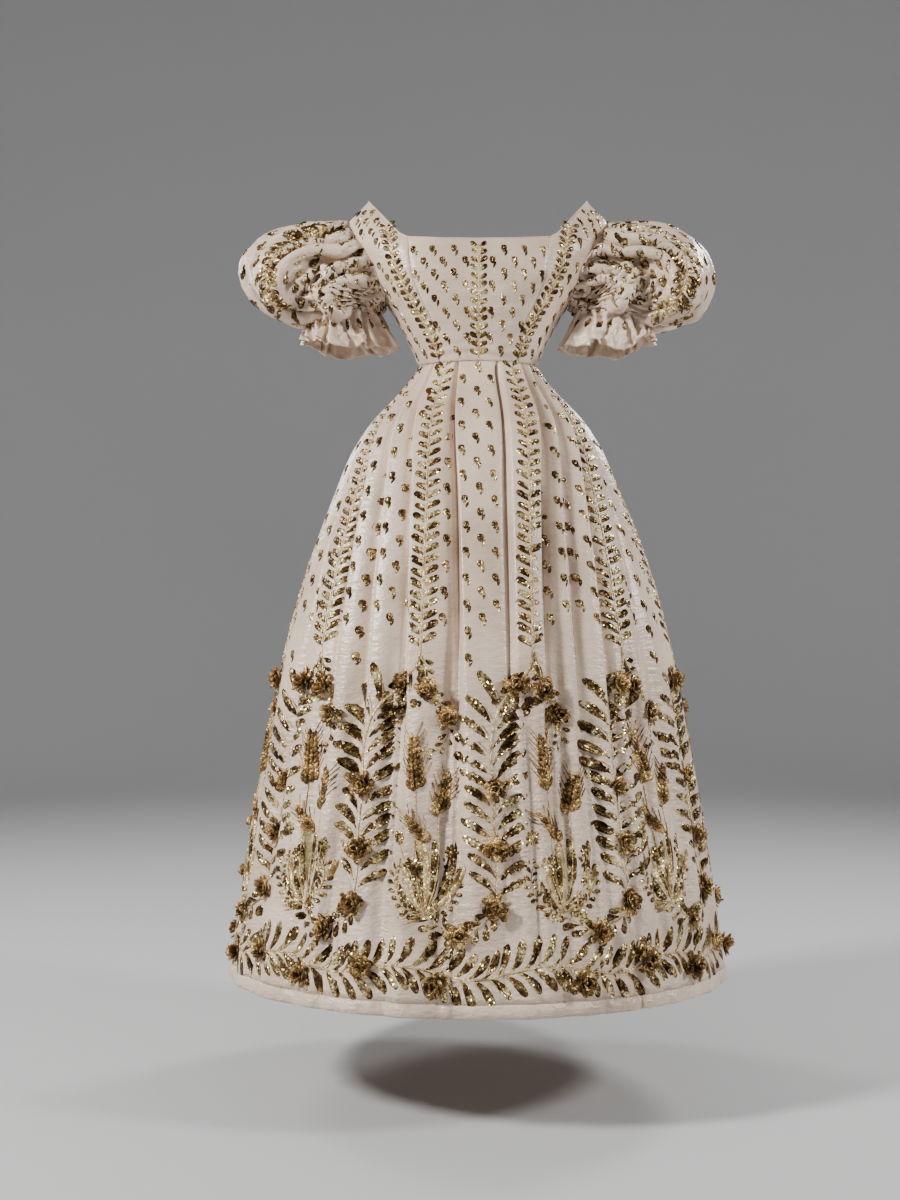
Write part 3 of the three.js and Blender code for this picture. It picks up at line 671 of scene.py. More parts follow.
def finer_grid(grid):
    """A sheet with a row and a column added between each two, on smooth curves; columns go all round."""
    before, after, second = (np.roll(grid, shift, axis=1) for shift in (1, -1, -2))
    between = (9 * (grid + after) - before - second) / 16
    wide = np.stack([grid, between], axis=2).reshape(grid.shape[0], -1, 3)
    padded = np.concatenate([2 * wide[:1] - wide[1:2], wide, 2 * wide[-1:] - wide[-2:-1]])
    between = (9 * (padded[1:-2] + padded[2:-1]) - padded[:-3] - padded[3:]) / 16
    tall = np.empty((2 * grid.shape[0] - 1, wide.shape[1], 3))
    tall[::2], tall[1::2] = wide, between
    return tall


def refined(coarse, name, grid, turned_round):
    """The sheet again from its finer grid, in place of the coarse one."""
    bpy.data.objects.remove(coarse, do_unlink=True)
    faces = sheet_faces(grid.shape[0], grid.shape[1], wrap=True)
    faces = faces[:, ::-1] if turned_round else faces
    piece = new_piece(name, grid, faces, SATIN)
    around = np.linspace(0, 600, grid.shape[1]) + 0 * grid[..., 0]
    along = np.linspace(0, 5.5 * grid.shape[0], grid.shape[0])[:, None] + 0 * around
    add_weave(piece, around, along)
    thicken(piece, 1.0)
    return piece


def fold_seed(side, turn, share, spread):
    """How far the starting folds stand out, largest near the gathers and softer between them."""
    degrees = np.degrees(turn)[None, :]
    share = share[:, None]
    height = np.zeros((share.shape[0], turn.shape[0]))
    for fold in SLEEVE_FOLDS[side]:
        away = np.mod(degrees - fold["at"] - fold["slant"] * share + 180, 360) - 180
        height += fold["high"] * np.exp(-(away / (fold["wide"] * spread)) ** 2)
    return height * (0.35 + 0.65 * np.abs(2 * share - 1))


def long_creases(side, turn, share):
    """Soft ridges with a trough beside each, uneven in length, that run on between the gathers."""
    degrees, share = np.degrees(turn)[None, :], share[:, None]
    height = np.zeros((share.shape[0], turn.shape[0]))
    for fold in SLEEVE_FOLDS[side]:
        away = np.mod(degrees - fold["at"] - 2.5 * fold["slant"] * (share - 0.5) + 180, 360) - 180
        middle, reach = 0.3 + 0.05 * fold["wide"] * (fold["high"] % 2), 0.05 * fold["high"]
        length = np.exp(-((share - middle) / reach) ** 4)
        ridge, trough = np.exp(-(away / 5.5) ** 2), np.exp(-((away - 7) / 5) ** 2)
        height += fold["high"] * length * (0.35 * ridge - 0.9 * trough)
    return height


def sleeve_sheet(name, side, rings, rows, spread, pinned_rows, growth, pressure, gravity):
    """A puff or a frill: seeded with folds, draped, drawn in and kept as a smooth fine sheet."""
    turn = np.linspace(0, 2 * math.pi, SLEEVE_COLUMNS, endpoint=False)
    points = smooth_rows(rings, rows)
    share = np.linspace(0, 1, rows)
    out = sheet_normals(points)
    middle = points.mean(axis=(0, 1))
    if (out * (points - middle)).sum() < 0:
        out = -out
    ease_in = np.minimum(1, np.minimum(share, 1.2 if len(pinned_rows) < 2 else 1 - share) * 8)[:, None]
    points = points + out * (fold_seed(side, turn, share, spread) * ease_in - 2.5 * ease_in)[..., None]
    points[..., 0] *= side
    faces = sheet_faces(rows, SLEEVE_COLUMNS, wrap=True)
    corner = points.reshape(-1, 3)[faces[len(faces) // 2]]
    normal = np.cross(corner[1] - corner[0], corner[2] - corner[0])
    turned_round = np.dot(normal, corner[0] - middle * [side, 1, 1]) < 0
    faces = faces[:, ::-1] if turned_round else faces
    piece = new_piece(name, points, faces, SATIN)
    drape(piece, pinned_rows, growth, pressure, gravity)
    points = coordinates(piece)
    held = np.concatenate([np.arange(row * SLEEVE_COLUMNS, (row + 1) * SLEEVE_COLUMNS) for row in pinned_rows])
    kept = points[held].copy()
    points = settled(points, side).reshape(rows, SLEEVE_COLUMNS, 3)
    if len(pinned_rows) > 1:
        gaps = np.linalg.norm(np.gradient(points, axis=0), axis=-1)
        ridges = FOLD_RIDGE * fold_seed(side, turn, share, spread)
        ridges = ridges + long_creases(side, turn, share) * np.clip(gaps / 4 - 0.2, 0, 1)
        ridges *= np.clip(9 * share * (1 - share), 0, 1)[:, None]
        points = points + sheet_normals(points) * (1 if turned_round else -1) * ridges[..., None]
    points = keep_off_bodice(points.reshape(-1, 3))
    points[held] = kept
    grid = finer_grid(points.reshape(rows, SLEEVE_COLUMNS, 3))
    SLEEVE_SHEETS[name] = grid, turned_round
    piece = refined(piece, name, grid, turned_round)
    sewn(piece, name)
    return piece


SLEEVE_SHEETS = {}


def make_sleeves():
    turn = np.linspace(0, 2 * math.pi, SLEEVE_COLUMNS, endpoint=False)
    for label, side in (("left", 1), ("right", -1)):
        rings = [armhole_ring(turn)] + [oval_ring(ring, turn) for ring in PUFF_RINGS]
        centre = np.mean(rings, axis=(0, 1))
        rings[1:-1] = [centre + (ring - centre) * PUFF_START for ring in rings[1:-1]]
        puff = sleeve_sheet(f"sleeve_puff_{label}", side, rings, 45, 1.0, (0, 44), 0.34, 75.0, 0.0)
        rings = [oval_ring(ring, turn) for ring in FRILL_RINGS]
        frill = sleeve_sheet(f"sleeve_frill_{label}", side, rings, 12, 0.6, (0,), 0.50, 0.0, 0.5)


make_sleeves()


# ---- gold -----------------------------------------------------------------------------------------
def gold_material(name, dark, middle, light, cell, roughness, glitter):
    """Gold thread and sequins: every little cell faces its own way, and its colour runs from dark to light,
    partly as the gold's own uneven tone and partly as painted glints and painted dark reflections.
    """
    material, tree, shader = new_material(name, {"Metallic": 0.72, "Roughness": roughness})
    place = node(tree, "ShaderNodeTexCoord")
    cells = node(tree, "ShaderNodeTexVoronoi", Scale=1000 / cell)
    ramp = colour_ramp(tree, (0.1, dark), (0.92, light), (0.55, middle))
    # The colour is a cell's own share and that of a broad patch; the patches are painted glint and painted dark
    # reflection over whole stretches of a leaf.
    glint_patches = node(tree, "ShaderNodeTexNoise", Scale=55.0, Detail=1.5)
    share = node(tree, "ShaderNodeSeparateColor")
    blend = node(tree, "ShaderNodeMath", operation="MULTIPLY_ADD")
    blend.inputs[1].default_value = 0.62
    rest = node(tree, "ShaderNodeMath", operation="MULTIPLY_ADD")
    rest.inputs[1].default_value = 2.0
    rest.inputs[2].default_value = -0.82
    surface = node(tree, "ShaderNodeNewGeometry")
    centre = node(tree, "ShaderNodeVectorMath", operation="SUBTRACT")
    centre.inputs[1].default_value = (0.5, 0.5, 0.5)
    tilt = node(tree, "ShaderNodeVectorMath", operation="SCALE")
    tilt.inputs["Scale"].default_value = glitter
    added = node(tree, "ShaderNodeVectorMath", operation="ADD")
    even = node(tree, "ShaderNodeVectorMath", operation="NORMALIZE")
    join(tree, (place, "Object", cells, "Vector"), (place, "Object", glint_patches, "Vector"),
         (cells, "Color", share, "Color"), (glint_patches, "Fac", rest, 0), (share, "Red", blend, 0),
         (rest, "Value", blend, 2), (blend, "Value", ramp, "Fac"), (ramp, "Color", shader, "Base Color"),
         (cells, "Color", centre, 0), (centre, "Vector", tilt, 0), (surface, "Normal", added, 0),
         (tilt, "Vector", added, 1), (added, "Vector", even, 0), (even, "Vector", shader, "Normal"))
    return material


# Each gold runs from a dark end, partly painted dark reflection, through its own middle tone to a light end that
# is a painted glint.
SEQUINS = gold_material("gold_sequins", (0.035, 0.016, 0.005), (0.21, 0.12, 0.037), (1.0, 0.84, 0.44),
                        cell=2.6, roughness=0.25, glitter=1.15)
THREAD = gold_material("gold_thread", (0.30, 0.19, 0.075), (0.64, 0.47, 0.22), (1.0, 0.86, 0.54),
                       cell=1.6, roughness=0.40, glitter=0.8)
BULLION = gold_material("gold_bullion", (0.07, 0.034, 0.011), (0.30, 0.175, 0.06), (0.88, 0.64, 0.30),
                        cell=1.5, roughness=0.40, glitter=1.0)


# ---- small shapes, modelled once ------------------------------------------------------------------
def small_shape(segments, rings, taper, whole=False):
    """A little dome as long as wide as high as 1, its foot at 0 along Y; tapered to its foot."""
    bpy.ops.object.select_all(action="DESELECT")
    bpy.ops.mesh.primitive_uv_sphere_add(segments=segments, ring_count=rings, radius=0.5,
                                         rotation=(math.pi / 2, 0, 0))
    made = bpy.context.active_object
    bpy.ops.object.transform_apply(location=False, rotation=True, scale=False)
    if not whole:
        bpy.ops.object.mode_set(mode="EDIT")
        bpy.ops.mesh.select_all(action="SELECT")
        bpy.ops.mesh.bisect(plane_co=(0, 0, 0), plane_no=(0, 0, 1), clear_inner=True, use_fill=True)
        bpy.ops.object.mode_set(mode="OBJECT")
    if taper:
        narrow = made.modifiers.new("narrow", "SIMPLE_DEFORM")
        narrow.deform_method = "TAPER"
        narrow.deform_axis = "Y"
        narrow.factor = taper
    made.modifiers.new("triangles", "TRIANGULATE")
    apply_modifiers(made)
    points = np.array([vertex.co[:] for vertex in made.data.vertices])
    faces = np.array([polygon.vertices[:] for polygon in made.data.polygons])
    bpy.data.objects.remove(made, do_unlink=True)
    points[:, 1] += 0.5
    points[:, 0] /= 2 * np.abs(points[:, 0]).max()
    points[:, 2] /= points[:, 2].max() * (2 if whole else 1)
    # The corners and faces come in no fixed order, so they are put in the same order every time.
    points = np.round(points, 5) + 0.0
    order = np.lexsort(points.T)
    faces = np.argsort(order)[faces]
    return points[order], np.array(sorted(tuple(np.roll(face, -face.argmin())) for face in faces))


LEAFLET = small_shape(8, 8, 1.5)
LEAF = small_shape(6, 6, 1.1)
DOT = small_shape(6, 4, 0)
DROP = small_shape(5, 4, 0.7)
GRAIN = small_shape(5, 4, -0.4)
PETAL = small_shape(5, 4, 0.9, whole=True)
SINK = 0.25                # how deep the rim of a motif lies in the satin


# ---- grounds that the embroidery lies on ----------------------------------------------------------
def skirt_form(angle, z):
    half = skirt_size("half", z)
    deep = depth_at(skirt_size, np.cos(angle) > 0, z)
    return np.stack([half * np.sin(angle), -deep * np.cos(angle), z + 0 * angle], axis=-1)


def bodice_form(angle, z):
    return bodice_point(angle, z)[0]


def bodice_cloth(angle, z, lift):
    return bodice_point(angle, z, lift + bodice_wrinkles(angle, z))


def grid_ground(grid, turned_round):
    """The ground of a sleeve's sheet, by column and row of its grid."""
    rows, columns = grid.shape[:2]
    around = np.roll(grid, -1, axis=1) - np.roll(grid, 1, axis=1)
    normals = unit(np.cross(around, np.gradient(grid, axis=0))) * (-1 if turned_round else 1)
    broad = grid.copy()
    for step in range(6):
        broad = (np.roll(broad, 2, axis=1) + np.roll(broad, -2, axis=1) + 2 * broad) / 4
        broad[2:-2] = (broad[:-4] + broad[4:] + 2 * broad[2:-2]) / 4

    def between(table, column, row):
        i = np.floor(column).astype(int)
        j = np.clip(np.floor(row).astype(int), 0, rows - 2)
        s, t = (column - i)[..., None], (row - j)[..., None]
        i, following = i % columns, (i + 1) % columns
        return ((1 - t) * ((1 - s) * table[j, i] + s * table[j, following])
                + t * ((1 - s) * table[j + 1, i] + s * table[j + 1, following]))

    def at(column, row, lift):
        normal = unit(between(normals, column, row))
        return between(grid, column, row) + normal * (0.5 + 1.4 * np.asarray(lift))[..., None], normal

    def form(column, row):
        return between(broad, column, row)

    return dict(at=at, form=form, step=(2.0, 2.0), least=(1.5, 2.0))


SKIRT = dict(at=skirt_point, form=skirt_form, step=(0.01, 3.0), least=(50, 0.5))
BODICE = dict(at=bodice_cloth, form=bodice_form, step=(0.02, 2.0), least=(50, 0.5))


def local_frame(ground, u, v):
    """Millimetres of cloth across and up for a step in u and in v, and the two directions."""
    step_u, step_v = ground["step"]
    along_u = (ground["form"](u + step_u, v) - ground["form"](u - step_u, v)) / (2 * step_u)
    along_v = (ground["form"](u, v + step_v) - ground["form"](u, v - step_v)) / (2 * step_v)
    length_u = np.linalg.norm(along_u, axis=-1)
    across = along_u / np.maximum(length_u, 1e-9)[..., None]
    shear = (along_v * across).sum(axis=-1)
    up = along_v - across * shear[..., None]
    length_v = np.linalg.norm(up, axis=-1)
    up /= np.maximum(length_v, 1e-9)[..., None]
    least_u, least_v = ground["least"]
    return (np.maximum(length_u, least_u), np.maximum(length_v, least_v),
            np.clip(shear, -least_u, least_u), across, up)


BATCHES = {}


def add_to(batch, points, faces):
    BATCHES.setdefault(batch, []).append((np.asarray(points).reshape(-1, 3), np.asarray(faces)))


def stamp(batch, ground, shape, u, v, turn, length, width, height=1.0, bend=0.0):
    """Lays copies of a small shape on a ground; turn is in degrees from straight up, to the left."""
    u, v, turn, length, width, height, bend = np.broadcast_arrays(
        *(np.atleast_1d(np.asarray(value, float)) for value in (u, v, turn, length, width, height, bend)))
    points, faces = shape
    x, y, z = points.T
    curl = np.arctan(2 * bend[:, None] * y)
    b = y * length[:, None] - x * width[:, None] * np.sin(curl)
    a = x * width[:, None] * np.cos(curl) + bend[:, None] * length[:, None] * y ** 2
    cos, sin = np.cos(np.radians(turn))[:, None], np.sin(np.radians(turn))[:, None]
    across, up = a * cos - b * sin, a * sin + b * cos
    length_u, length_v, shear, right, rise = local_frame(ground, u, v)
    dv = up / length_v[:, None]
    du = (across - dv * shear[:, None]) / length_u[:, None]
    spots, normal = ground["at"](u[:, None] + du, v[:, None] + dv, z * height[:, None] - SINK)
    far = np.linalg.norm(spots - spots.mean(axis=1, keepdims=True), axis=2).max(axis=1)
    # Copies that the gathers would pull out of shape are left out.
    lies_well = far < 0.9 * np.maximum(length, width)
    spots, normal, right, rise = spots[lies_well], normal[lies_well], right[lies_well], rise[lies_well]
    if not len(spots):
        return
    offsets = np.arange(len(spots))[:, None, None] * len(points)
    all_faces = (faces[None] + offsets).reshape(-1, 3)
    if (np.cross(right, rise) * normal.mean(axis=1)).sum() < 0:
        all_faces = all_faces[:, ::-1]
    add_to(batch, spots, all_faces)


def curve(points, count=60):
    """A smooth run of places through the given ones."""
    points = np.asarray(points, float)
    ends = np.concatenate([2 * points[:1] - points[1:2], points, 2 * points[-1:] - points[-2:-1]])
    wanted = np.linspace(0, len(points) - 1, count)
    k = np.minimum(wanted.astype(int), len(points) - 2)
    t = (wanted - k)[:, None]
    a, b, c, d = ends[k], ends[k + 1], ends[k + 2], ends[k + 3]
    return 0.5 * (2 * b + (c - a) * t + (2 * a - 5 * b + 4 * c - d) * t ** 2 + (3 * b - a - 3 * c + d) * t ** 3)


def walk(ground, u, v):
    """How far along its path each place is, and the heading there."""
    length_u, length_v, shear = local_frame(ground, u, v)[:3]
    du, dv = np.gradient(u), np.gradient(v)
    across, up = length_u * du + shear * dv, length_v * dv
    steps = np.hypot(across, up)
    along = np.concatenate([[0], np.cumsum((steps[1:] + steps[:-1]) / 2)])
    return along, np.degrees(np.unwrap(np.arctan2(-across, up)))


def stem(batch, ground, u, v, width=2.4, height=1.0):
    """A laid cord of gold thread along a path, its foot closed in the cloth."""
    along, heading = walk(ground, u, v)
    count = max(3, int(along[-1] / 5))
    spot = np.linspace(0, along[-1], count)
    u, v, heading = (np.interp(spot, along, values) for values in (u, v, heading))
    section = np.array([(-0.5, 0), (-0.22, 1), (0.22, 1), (0.5, 0)])
    half = width * (1 - 0.5 * np.linspace(0, 1, count) ** 3)
    cos, sin = np.cos(np.radians(heading)), np.sin(np.radians(heading))
    length_u, length_v, shear, right, rise = local_frame(ground, u, v)
    offset = half[:, None] * section[:, 0]
    dv = offset * sin[:, None] / length_v[:, None]
    du = (offset * cos[:, None] - dv * shear[:, None]) / length_u[:, None]
    spots, normal = ground["at"](u[:, None] + du, v[:, None] + dv, section[:, 1] * height - SINK + 0 * du)
    ring = np.arange(4)
    j = np.arange(count - 1)[:, None]
    a, b = j * 4 + ring, j * 4 + (ring + 1) % 4
    faces = np.concatenate([np.stack([a, b, b + 4], axis=-1).reshape(-1, 3),
                            np.stack([a, b + 4, a + 4], axis=-1).reshape(-1, 3),
                            [(0, 2, 1), (0, 3, 2)],
                            np.array([(0, 1, 2), (0, 2, 3)]) + 4 * (count - 1)])
    if (np.cross(right, rise) * normal.mean(axis=1)).sum() < 0:
        faces = faces[:, ::-1]
    add_to(batch, spots, faces)


def leaves(batch, ground, u, v, spacing, lean, length, width, start=0.0, end=0.0, bend=0.0, shape=LEAF,
           height=1.2, side=0.0, grow=1.0):
    """Leaves along a path, from a start to an end that counts back from the path's own if it isn't above 0.

    Lean is their angle from the path and side how far out their feet are.
    """
    along, heading = walk(ground, u, v)
    spot = np.arange(start, end if end > 0 else along[-1] + end, spacing)
    if not len(spot):
        return
    at_u, at_v, turn = (np.interp(spot, along, values) for values in (u, v, heading))
    length_u, length_v, shear = local_frame(ground, at_u, at_v)[:3]
    size = 1 + (grow - 1) * (spot - spot[0]) / max(spot[-1] - spot[0], 1)
    out = np.sign(lean) * side * size
    up = out * np.sin(np.radians(turn))
    across = -out * np.cos(np.radians(turn))
    uneven = 1 + 0.07 * np.sin(7.3 * spot + 3 * lean)
    dv = up / length_v
    at_u, at_v = at_u + (across - dv * shear) / length_u, at_v + dv
    stamp(batch, ground, shape, at_u, at_v, turn + lean + 3 * np.sin(5.1 * spot), length * size * uneven,
          width * size * uneven, height, bend)


RANDOM = np.random.default_rng(1828)
# A flower's petals: how many, their rise in degrees, length and foot as shares of the radius, and lift.
TIERS = ((12, 12, 0.86, 0.22, 1.0), (10, 36, 0.78, 0.14, 2.5), (8, 62, 0.70, 0.08, 3.5))


def tufted_flower(batch, ground, u, v, radius=21.0, rise=15.0):
    """A raised flower of three tiers of curled petals."""
    u, v = np.atleast_1d(float(u)), np.atleast_1d(float(v))
    right, up = (way[0] for way in local_frame(ground, u, v)[3:])
    out = unit(np.cross(right, up))
    spot = ground["at"](u, v, np.zeros(1))[0][0]
    points, faces = PETAL
    for count, tilt, reach, foot, lift in TIERS:
        for index in range(count):
            turn = 2 * math.pi * (index + 0.6 * RANDOM.uniform(-1, 1)) / count + tilt
            slope = math.radians(tilt + RANDOM.uniform(-18, 20))
            away = math.cos(turn) * right + math.sin(turn) * up
            along = math.cos(slope) * away + math.sin(slope) * out * rise / 15
            over = -math.sin(slope) * away + math.cos(slope) * out
            across = np.cross(along, over)
            long = radius * reach * RANDOM.uniform(0.7, 1.2)
            wide = radius * RANDOM.uniform(0.38, 0.62)
            curl = long * RANDOM.uniform(-0.25, 0.5)
            y = points[:, 1]
            body = (spot + away * foot * radius + out * lift + np.outer(y * long, along)
                    + np.outer(points[:, 0] * wide, across)
                    + np.outer(points[:, 2] * radius * 0.11 + curl * y ** 2 * math.cos(slope), over))
            body += np.outer(np.maximum(0, -(body - spot) @ out - 0.8), out)
            add_to(batch, body, faces)


# ---- the skirt's embroidery -----------------------------------------------------------------------
def arc(angle, z):
    """Millimetres of the skirt's girth for one radian."""
    return np.hypot(skirt_size("half", z) * np.cos(angle),
                    depth_at(skirt_size, np.cos(angle) > 0, z) * np.sin(angle))


def on_skirt(axis, places):
    """Angles and heights of places given by their distance right of an axis and their height."""
    places = np.asarray(places, float)
    return math.radians(axis) + places[..., 0] / arc(math.radians(axis), places[..., 1]), places[..., 1]


# Vines that climb from the border to the waist, one for each repeat: degrees at the hem and at the waist.
VINES = table("hem waist",
    (12.8, 32), (42.5, 79), (78, 106), (108, 130), (140, 152), (172, 175), (-148, -155), (-115, -130.5),
    (-83, -107), (-50, -82), (-15.2, -33))
VINE_FOOT = -482
FROND = [(66, -478), (61, -505), (40, -532), (17, -560), (2, -592), (-4, -640), (1, -700), (0, -760),
         (4, -820), (0, -873)]
GARLAND = [(66, -478), (76, -510), (82, -540), (99, -556), (113, -582), (117, -612), (106, -634), (86, -641)]
FOOT_GARLAND = [(0, -873), (-24, -900), (-55, -915), (-84, -905), (-107, -885)]
SHEAF = (-107, -885)
# Ears of wheat: the way of the stem, then the ear's foot, its length and its lean to the left in degrees.
EARS = table("way foot long lean",
    ([(-118, -835), (-119, -765)], (-117, -697), 88, 2), ([(-92, -840), (-86, -785)], (-86, -735), 68, -14),
    ([(-100, -835), (-98, -805)], (-100, -776), 56, 38))
# Long blades of the sheaf: lean to the left, length, width and bend.
BLADES = table("lean long wide bend pale",
    (-6, 128, 16, -0.22, True), (-22, 112, 14, -0.30, False), (-44, 112, 16, -0.42, False),
    (-62, 92, 14, -0.45, True), (14, 100, 13, 0.22, False), (34, 92, 14, 0.52, False),
    (52, 74, 12, 0.60, True), (70, 58, 10, 0.60, False), (92, 46, 4, 0.25, True), (106, 44, 4, 0.20, True),
    (120, 34, 3.5, 0.15, True))
# Two small scrolls of leaves that curl up from the sheaf's foot.
SCROLLS = [
    [(-110, -885), (-138, -872), (-156, -845), (-153, -815), (-136, -806)],
    [(-104, -885), (-78, -872), (-60, -846), (-62, -814), (-80, -806)],
]
FLORETS = table("x z from_x from_z",
    (-148, -768, -124, -830), (-122, -806, -112, -850), (-66, -790, -80, -850))


def make_vines():
    for vine in VINES:
        z = np.linspace(VINE_FOOT, -7, 90)
        angle = pleat_angle(vine, z)
        stem("vines_pale", SKIRT, angle, z, 2.6)
        for lean in (56, -56):
            leaves("vines", SKIRT, angle, z, 18.5, 0.58 * lean, 28, 12, start=8 + (lean < 0) * 5,
                   bend=-0.3 * np.sign(lean), grow=0.66, side=1.5)
            leaves("vines_pale", SKIRT, angle, z, 18.5, 0.4 * lean, 10, 9.5, start=15 + (lean < 0) * 5,
                   shape=DOT, side=5, grow=0.7)


def sprig_places():
    """Places in staggered columns between the pleat edges, clear of the vines and the fronds."""
    ring = [*PLEATS, turned(PLEATS[0], 1)]
    u, v = [], []
    for index, (row, following) in enumerate(zip(ring, ring[1:])):
        for rank in range(26):
            z = 6 - SPRIG_RISE * (rank + 1)
            start, end = pleat_angle(row, z), pleat_angle(following, z)
            width = (end - start) * arc((start + end) / 2, z)
            for column, far in enumerate(np.arange(10, width - 7, SPRIG_COLUMN)):
                if (column + index + rank) % 2 == 0:
                    step = far * (end - start) / width
                    u.append(end - step if row["after"] < 0 else start + step)
                    v.append(z)
    u, v = np.array(u), np.array(v)
    keep = v > -500
    for vine in VINES:
        away = half_turn(u - pleat_angle(vine, v)) * arc(u, v)
        room = 11 + 11 * np.clip(-v / 200, 0, 1)
        keep &= (np.abs(away) > room) & ~((v < -455) & (away > -80) & (away < 62))
    return u[keep], v[keep]


def stamp_sprigs(ground, u, v, scale=1.0, lean=0.0):
    """A drop with a comma below it."""
    tilt = lean + 7 * np.sin(9.7 * v + 41 * u)
    stamp("sprigs", ground, DROP, u, v, tilt + 8, 16 * scale, 10.5 * scale, 1.2, 0.12)
    length_u, length_v = local_frame(ground, u, v)[:2]
    stamp("sprigs", ground, DROP, u + 1.5 * scale / length_u, v - 7.5 * scale / length_v, tilt - 24,
          14 * scale, 5 * scale, 1.0, -0.2)


def from_vine(k, places, share):
    """The places with the first of them moved to where the vine of a repeat ends, the others by their share."""
    axis = math.radians(FROND_TURN + BAY * k)
    reach = half_turn(pleat_angle(VINES[k], VINE_FOOT) - axis) * arc(axis, VINE_FOOT)
    moved = np.array(places, float)
    moved[:, 0] += (reach - moved[0, 0]) * np.asarray(share)
    return moved


def make_frond(k):
    axis = FROND_TURN + BAY * k
    u, v = on_skirt(axis, curve(from_vine(k, FROND, (1, 0.93, 0.6, 0.25, 0, 0, 0, 0, 0, 0))))
    stem("border_pale", SKIRT, u, v, 4.2, 1.4)
    wobble = 4 * math.sin(2.3 * k)
    leaves("border", SKIRT, u, v, 25, 26, 36, 15, start=12, end=88, bend=0.05, shape=LEAFLET, side=2)
    leaves("border", SKIRT, u, v, 24, -30, 28, 13, start=34, end=100, bend=-0.15, shape=LEAFLET, side=2)
    for lean, length in ((-148, 66), (148, 68)):
        leaves("border", SKIRT, u, v, 26.0, lean, length, 18, start=112 + (lean > 0) * 10, end=-6,
               bend=0.36 * np.sign(lean), shape=LEAFLET, side=2, grow=0.84, height=1.3)
        leaves("border_pale", SKIRT, u, v, 26.0, lean, length * 0.5, 2.0, start=104 + (lean > 0) * 10, end=-6,
               bend=0.18 * np.sign(lean), shape=DROP, side=2, grow=0.84, height=1.5)
    for drop, size in ((533, 21), (694 + wobble, 20), (785 - wobble, 22), (873, 22)):
        place = np.interp(-drop, v[::-1], np.arange(len(v))[::-1])
        tufted_flower("frond_flowers", SKIRT, np.interp(place, np.arange(len(u)), u), -drop, size)


def make_garlands(k):
    axis = FROND_TURN + BAY * k
    garland = from_vine(k, GARLAND, (1, 1, 1, 0.9, 0.8, 0.8, 0.8, 0.8))
    u, v = on_skirt(axis, curve(garland))
    stem("border_pale", SKIRT, u, v, 2.6, 1.1)
    for lean in (52, -52):
        leaves("border", SKIRT, u, v, 15, lean, 15, 8, start=16 + (lean < 0) * 7, end=-4,
               bend=0.1 * np.sign(lean), side=1.5, grow=0.85)
    for place, size in ((garland[2], 21), (garland[4], 22)):
        spot = on_skirt(axis, place)
        tufted_flower("frond_flowers", SKIRT, *spot, size)
    u, v = on_skirt(axis, curve(FOOT_GARLAND))
    stem("border_pale", SKIRT, u, v, 3.2, 1.2)
    for lean in (48, -48):
        leaves("border", SKIRT, u, v, 16, lean, 29, 12.5, start=10, end=-8,
               bend=0.12 * np.sign(lean), shape=LEAFLET, side=2)
    tufted_flower("frond_flowers", SKIRT, *on_skirt(axis, (-55, -915)), 20)


def make_sheaf(k):
    axis = FROND_TURN + BAY * k
    for ear in EARS:
        u, v = on_skirt(axis, curve([SHEAF, *ear["way"], ear["foot"]]))
        stem("border_pale", SKIRT, u, v, 2.2, 1.2)
        lean = math.radians(ear["lean"])
        tip = (ear["foot"][0] - ear["long"] * math.sin(lean), ear["foot"][1] + ear["long"] * math.cos(lean))
        u, v = on_skirt(axis, curve([ear["foot"], tip], 12))
        for side in (1, -1):
            leaves("ears", SKIRT, u, v, 9, 27 * side, 17, 8.5, start=3 + (side < 0) * 4, end=-10,
                   shape=GRAIN, side=6, grow=0.6, height=4)
            leaves("ears", SKIRT, u, v, 9, 9 * side, 15, 8, start=(side < 0) * 4, end=-5,
                   shape=GRAIN, side=2.4, grow=0.7, height=5.5)
            leaves("ears", SKIRT, u, v, 9, 24 * side, 40, 1.5, start=8 + (side < 0) * 4, end=-4,
                   shape=DROP, side=6, grow=0.7, height=2, bend=-0.06 * side)
    for blade in BLADES:
        batch, shape = ("border_pale", LEAF) if blade["pale"] else ("border", LEAFLET)
        stamp(batch, SKIRT, shape, *on_skirt(axis, SHEAF), blade["lean"], blade["long"], blade["wide"],
              1.4, blade["bend"])
    for way in SCROLLS:
        u, v = on_skirt(axis, curve(way, 40))
        stem("border_pale", SKIRT, u, v, 2.2, 1.2)
        for side in (1, -1):
            leaves("border", SKIRT, u, v, 12, 40 * side, 17, 8, start=8 + (side < 0) * 6, end=-2,
                   bend=-0.2 * side, side=1, grow=0.7)
    for floret in FLORETS:
        way = [SHEAF, (floret["from_x"], floret["from_z"]), (floret["x"], floret["z"])]
        u, v = on_skirt(axis, curve(way, 30))
        stem("border_pale", SKIRT, u, v, 1.8, 1.0)
        for turn in range(0, 360, 45):
            stamp("border", SKIRT, LEAF, *on_skirt(axis, (floret["x"], floret["z"])), turn, 12.5, 6, 1.6)
        stamp("border_pale", SKIRT, DOT, *on_skirt(axis, (floret["x"], floret["z"] - 3)), 0, 6, 6, 2.4)


